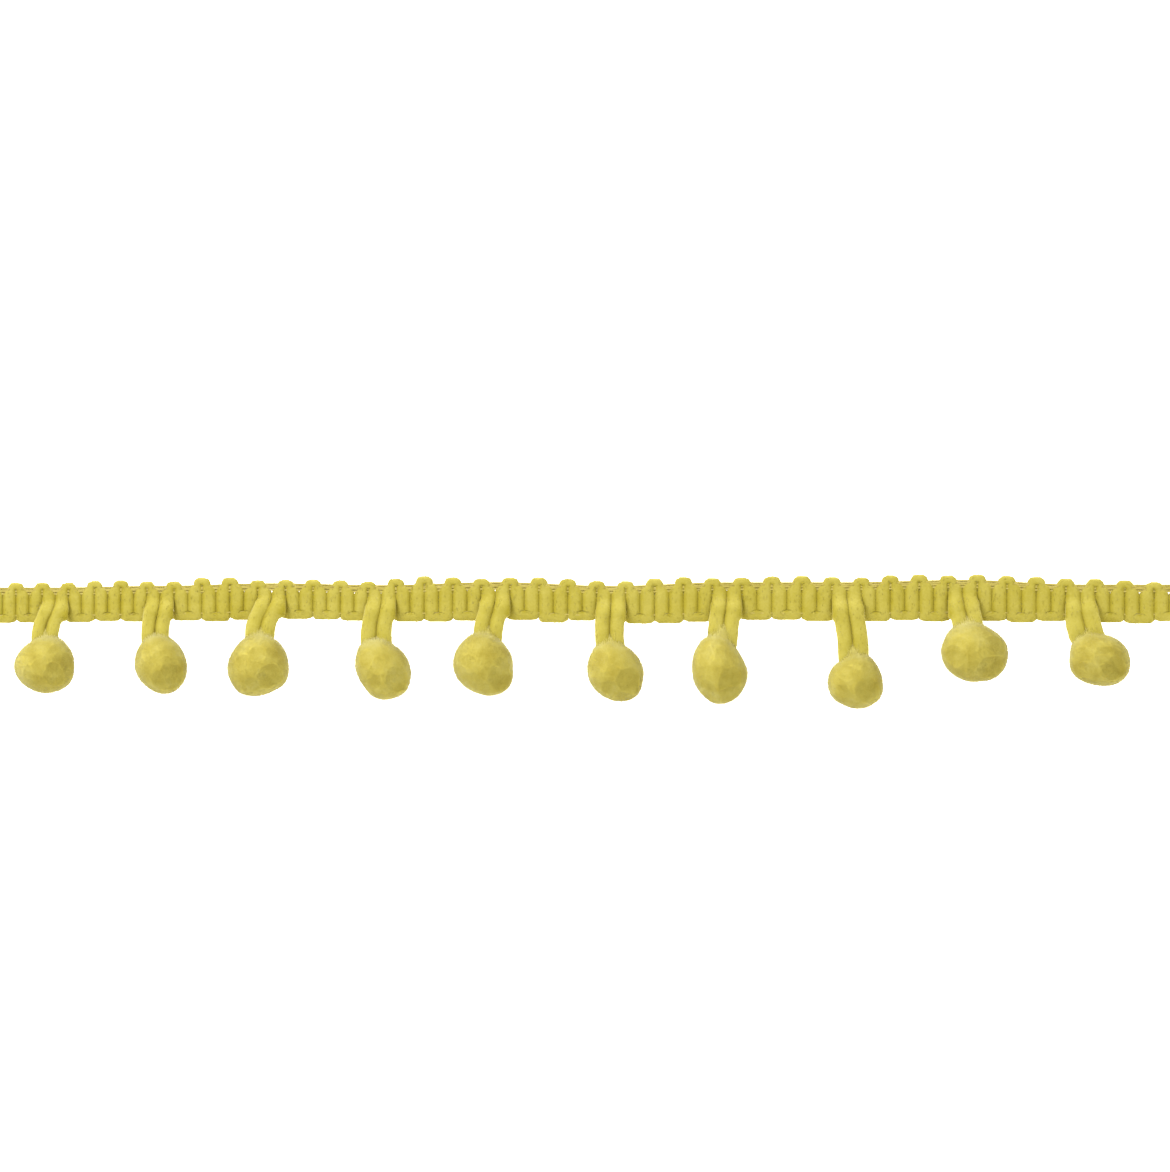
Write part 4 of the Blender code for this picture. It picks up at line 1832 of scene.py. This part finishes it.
    def roughen(self, core: bpy.types.Object) -> None:
        """Makes the core lumpy, as unevenly cut yarn is.

        Args:
            core: the sheared core.
        """
        for name, (strength, length) in (("lumps", self.lumps), ("clumps", self.clumps)):
            texture = bpy.data.textures.new(f"{core.name}_{name}", "CLOUDS")
            texture.noise_scale = length * MM
            displace = core.modifiers.new(name, "DISPLACE")
            displace.texture = texture
            displace.texture_coords = "LOCAL"
            displace.strength = strength * MM
            displace.mid_level = 0.5
            apply_modifier(core, displace)
            bpy.data.textures.remove(texture)

    def comb_neck(self, core: bpy.types.Object, ball: BallFrame) -> None:
        """Combs the pile of the neck up along the strands.

        Args:
            core: the lumpy core.
            ball: the pompom's middle and directions.
        """
        start = self.comb_start * self.row.long / 2
        end = ball.lip + self.neck_overlap
        lays = []
        for vert in core.data.vertices:
            place = (vert.co / MM - ball.centre).dot(ball.along)
            lays.append(self.comb_lay * smooth_step((place - start) / (end - start)))
        store(core.data, "comb", [ball.along] * len(lays))
        store(core.data, "lay", lays)

    def build(self) -> bpy.types.Object:
        """Builds the pompom.

        Returns:
            The finished piece, in place of its solid.
        """
        ball = BallFrame.of(self.row, self.layout)
        core = self.make_core(ball)
        self.fit_outline(core, ball)
        self.soften(core)
        self.shear(core, ball)
        self.roughen(core)
        self.comb_neck(core, ball)
        self.pile.cover(core, self.number)
        shade_as_one(core.data, self.soft_shading)
        return dress(core, self.finish, self.name)


# ---- The studio ----


@dataclass
class Studio:
    """A plain pale floor, soft light from the upper left, and a camera straight above."""

    picture_wide_px: float = 1170.0
    px_per_mm: float = 5.7
    centre: tuple[float, float] = (0.0, 1.47)
    subject_z: float = 3.0
    camera_distance: float = 1600.0
    sensor: float = 36.0
    clip_end_m: float = 10.0
    floor_size: float = 3000.0
    floor_tone: float = 0.9
    floor_glow: float = 2.0
    key_place: tuple[float, float, float] = (-520.0, 560.0, 620.0)
    key_size: float = 420.0
    key_watts: float = 5.75
    key_colour: tuple[float, float, float] = (1.0, 0.99, 1.12)
    sky_colour: tuple[float, float, float] = (1.0, 0.97, 0.87)
    sky_strength: float = 1.20

    def make_floor(self) -> None:
        """Lays the floor, which the trim lies on."""
        bpy.ops.object.select_all(action="DESELECT")
        bpy.ops.mesh.primitive_plane_add(size=self.floor_size * MM)
        floor = bpy.context.object
        floor.name = "studio_floor"
        material, graph, shader = new_material("studio_floor_paper")
        surface = {
            "Base Color": (*(self.floor_tone,) * 3, 1.0),
            "Roughness": 0.9,
            "Emission Color": (1.0, 1.0, 1.0, 1.0),
            "Emission Strength": self.floor_glow,
        }
        graph.fill(shader, surface)
        floor.data.materials.append(material)

    def make_key_light(self) -> None:
        """Adds a soft square light that looks at the middle of the trim."""
        data = bpy.data.lights.new("key_light", "AREA")
        data.shape = "SQUARE"
        data.size = self.key_size * MM
        data.energy = self.key_watts
        data.color = self.key_colour
        light = add_object("key_light", data)
        place = Vector(self.key_place)
        light.location = place * MM
        light.rotation_euler = (-place).to_track_quat("-Z", "Y").to_euler()

    def make_sky(self) -> None:
        """Surrounds the trim with a pale even light, and shows colours as they are."""
        world = bpy.data.worlds.new("studio_world")
        world.use_nodes = True
        tree = world.node_tree
        light = {"Color": (*self.sky_colour, 1.0), "Strength": self.sky_strength}
        NodeGraph(tree).fill(tree.nodes["Background"], light)
        bpy.context.scene.world = world
        bpy.context.scene.view_settings.view_transform = "Standard"

    def make_camera(self) -> None:
        """Puts the camera straight above the trim, with the picture's framing."""
        data = bpy.data.cameras.new("camera")
        data.sensor_fit = "HORIZONTAL"
        data.sensor_width = self.sensor
        field = self.picture_wide_px / self.px_per_mm
        data.lens = self.sensor * self.camera_distance / field
        data.clip_end = self.clip_end_m
        camera = add_object("camera", data)
        camera.location = Vector((*self.centre, self.subject_z + self.camera_distance)) * MM
        bpy.context.scene.camera = camera

    def build(self) -> None:
        """Builds the floor, the light, the surroundings and the camera."""
        self.make_floor()
        self.make_key_light()
        self.make_sky()
        self.make_camera()


def main() -> None:
    """Builds the studio and the trim, piece by piece."""
    logging.basicConfig(level=logging.INFO, format="%(name)s: %(message)s")
    layout = BraidLayout()
    Studio().build()
    GimpCord(layout, CORD_FINISH).build()
    for row in STITCH_ROWS:
        if row.nodes:
            Stitching(layout, row, THREAD_FINISH).build()
    for number, repeat in enumerate(REPEATS, 1):
        Pompom(number, repeat, layout, PILE_FINISH).build()
    for shape in FibreShape:
        shape.remove_template()


if __name__ == "__main__":
    main()
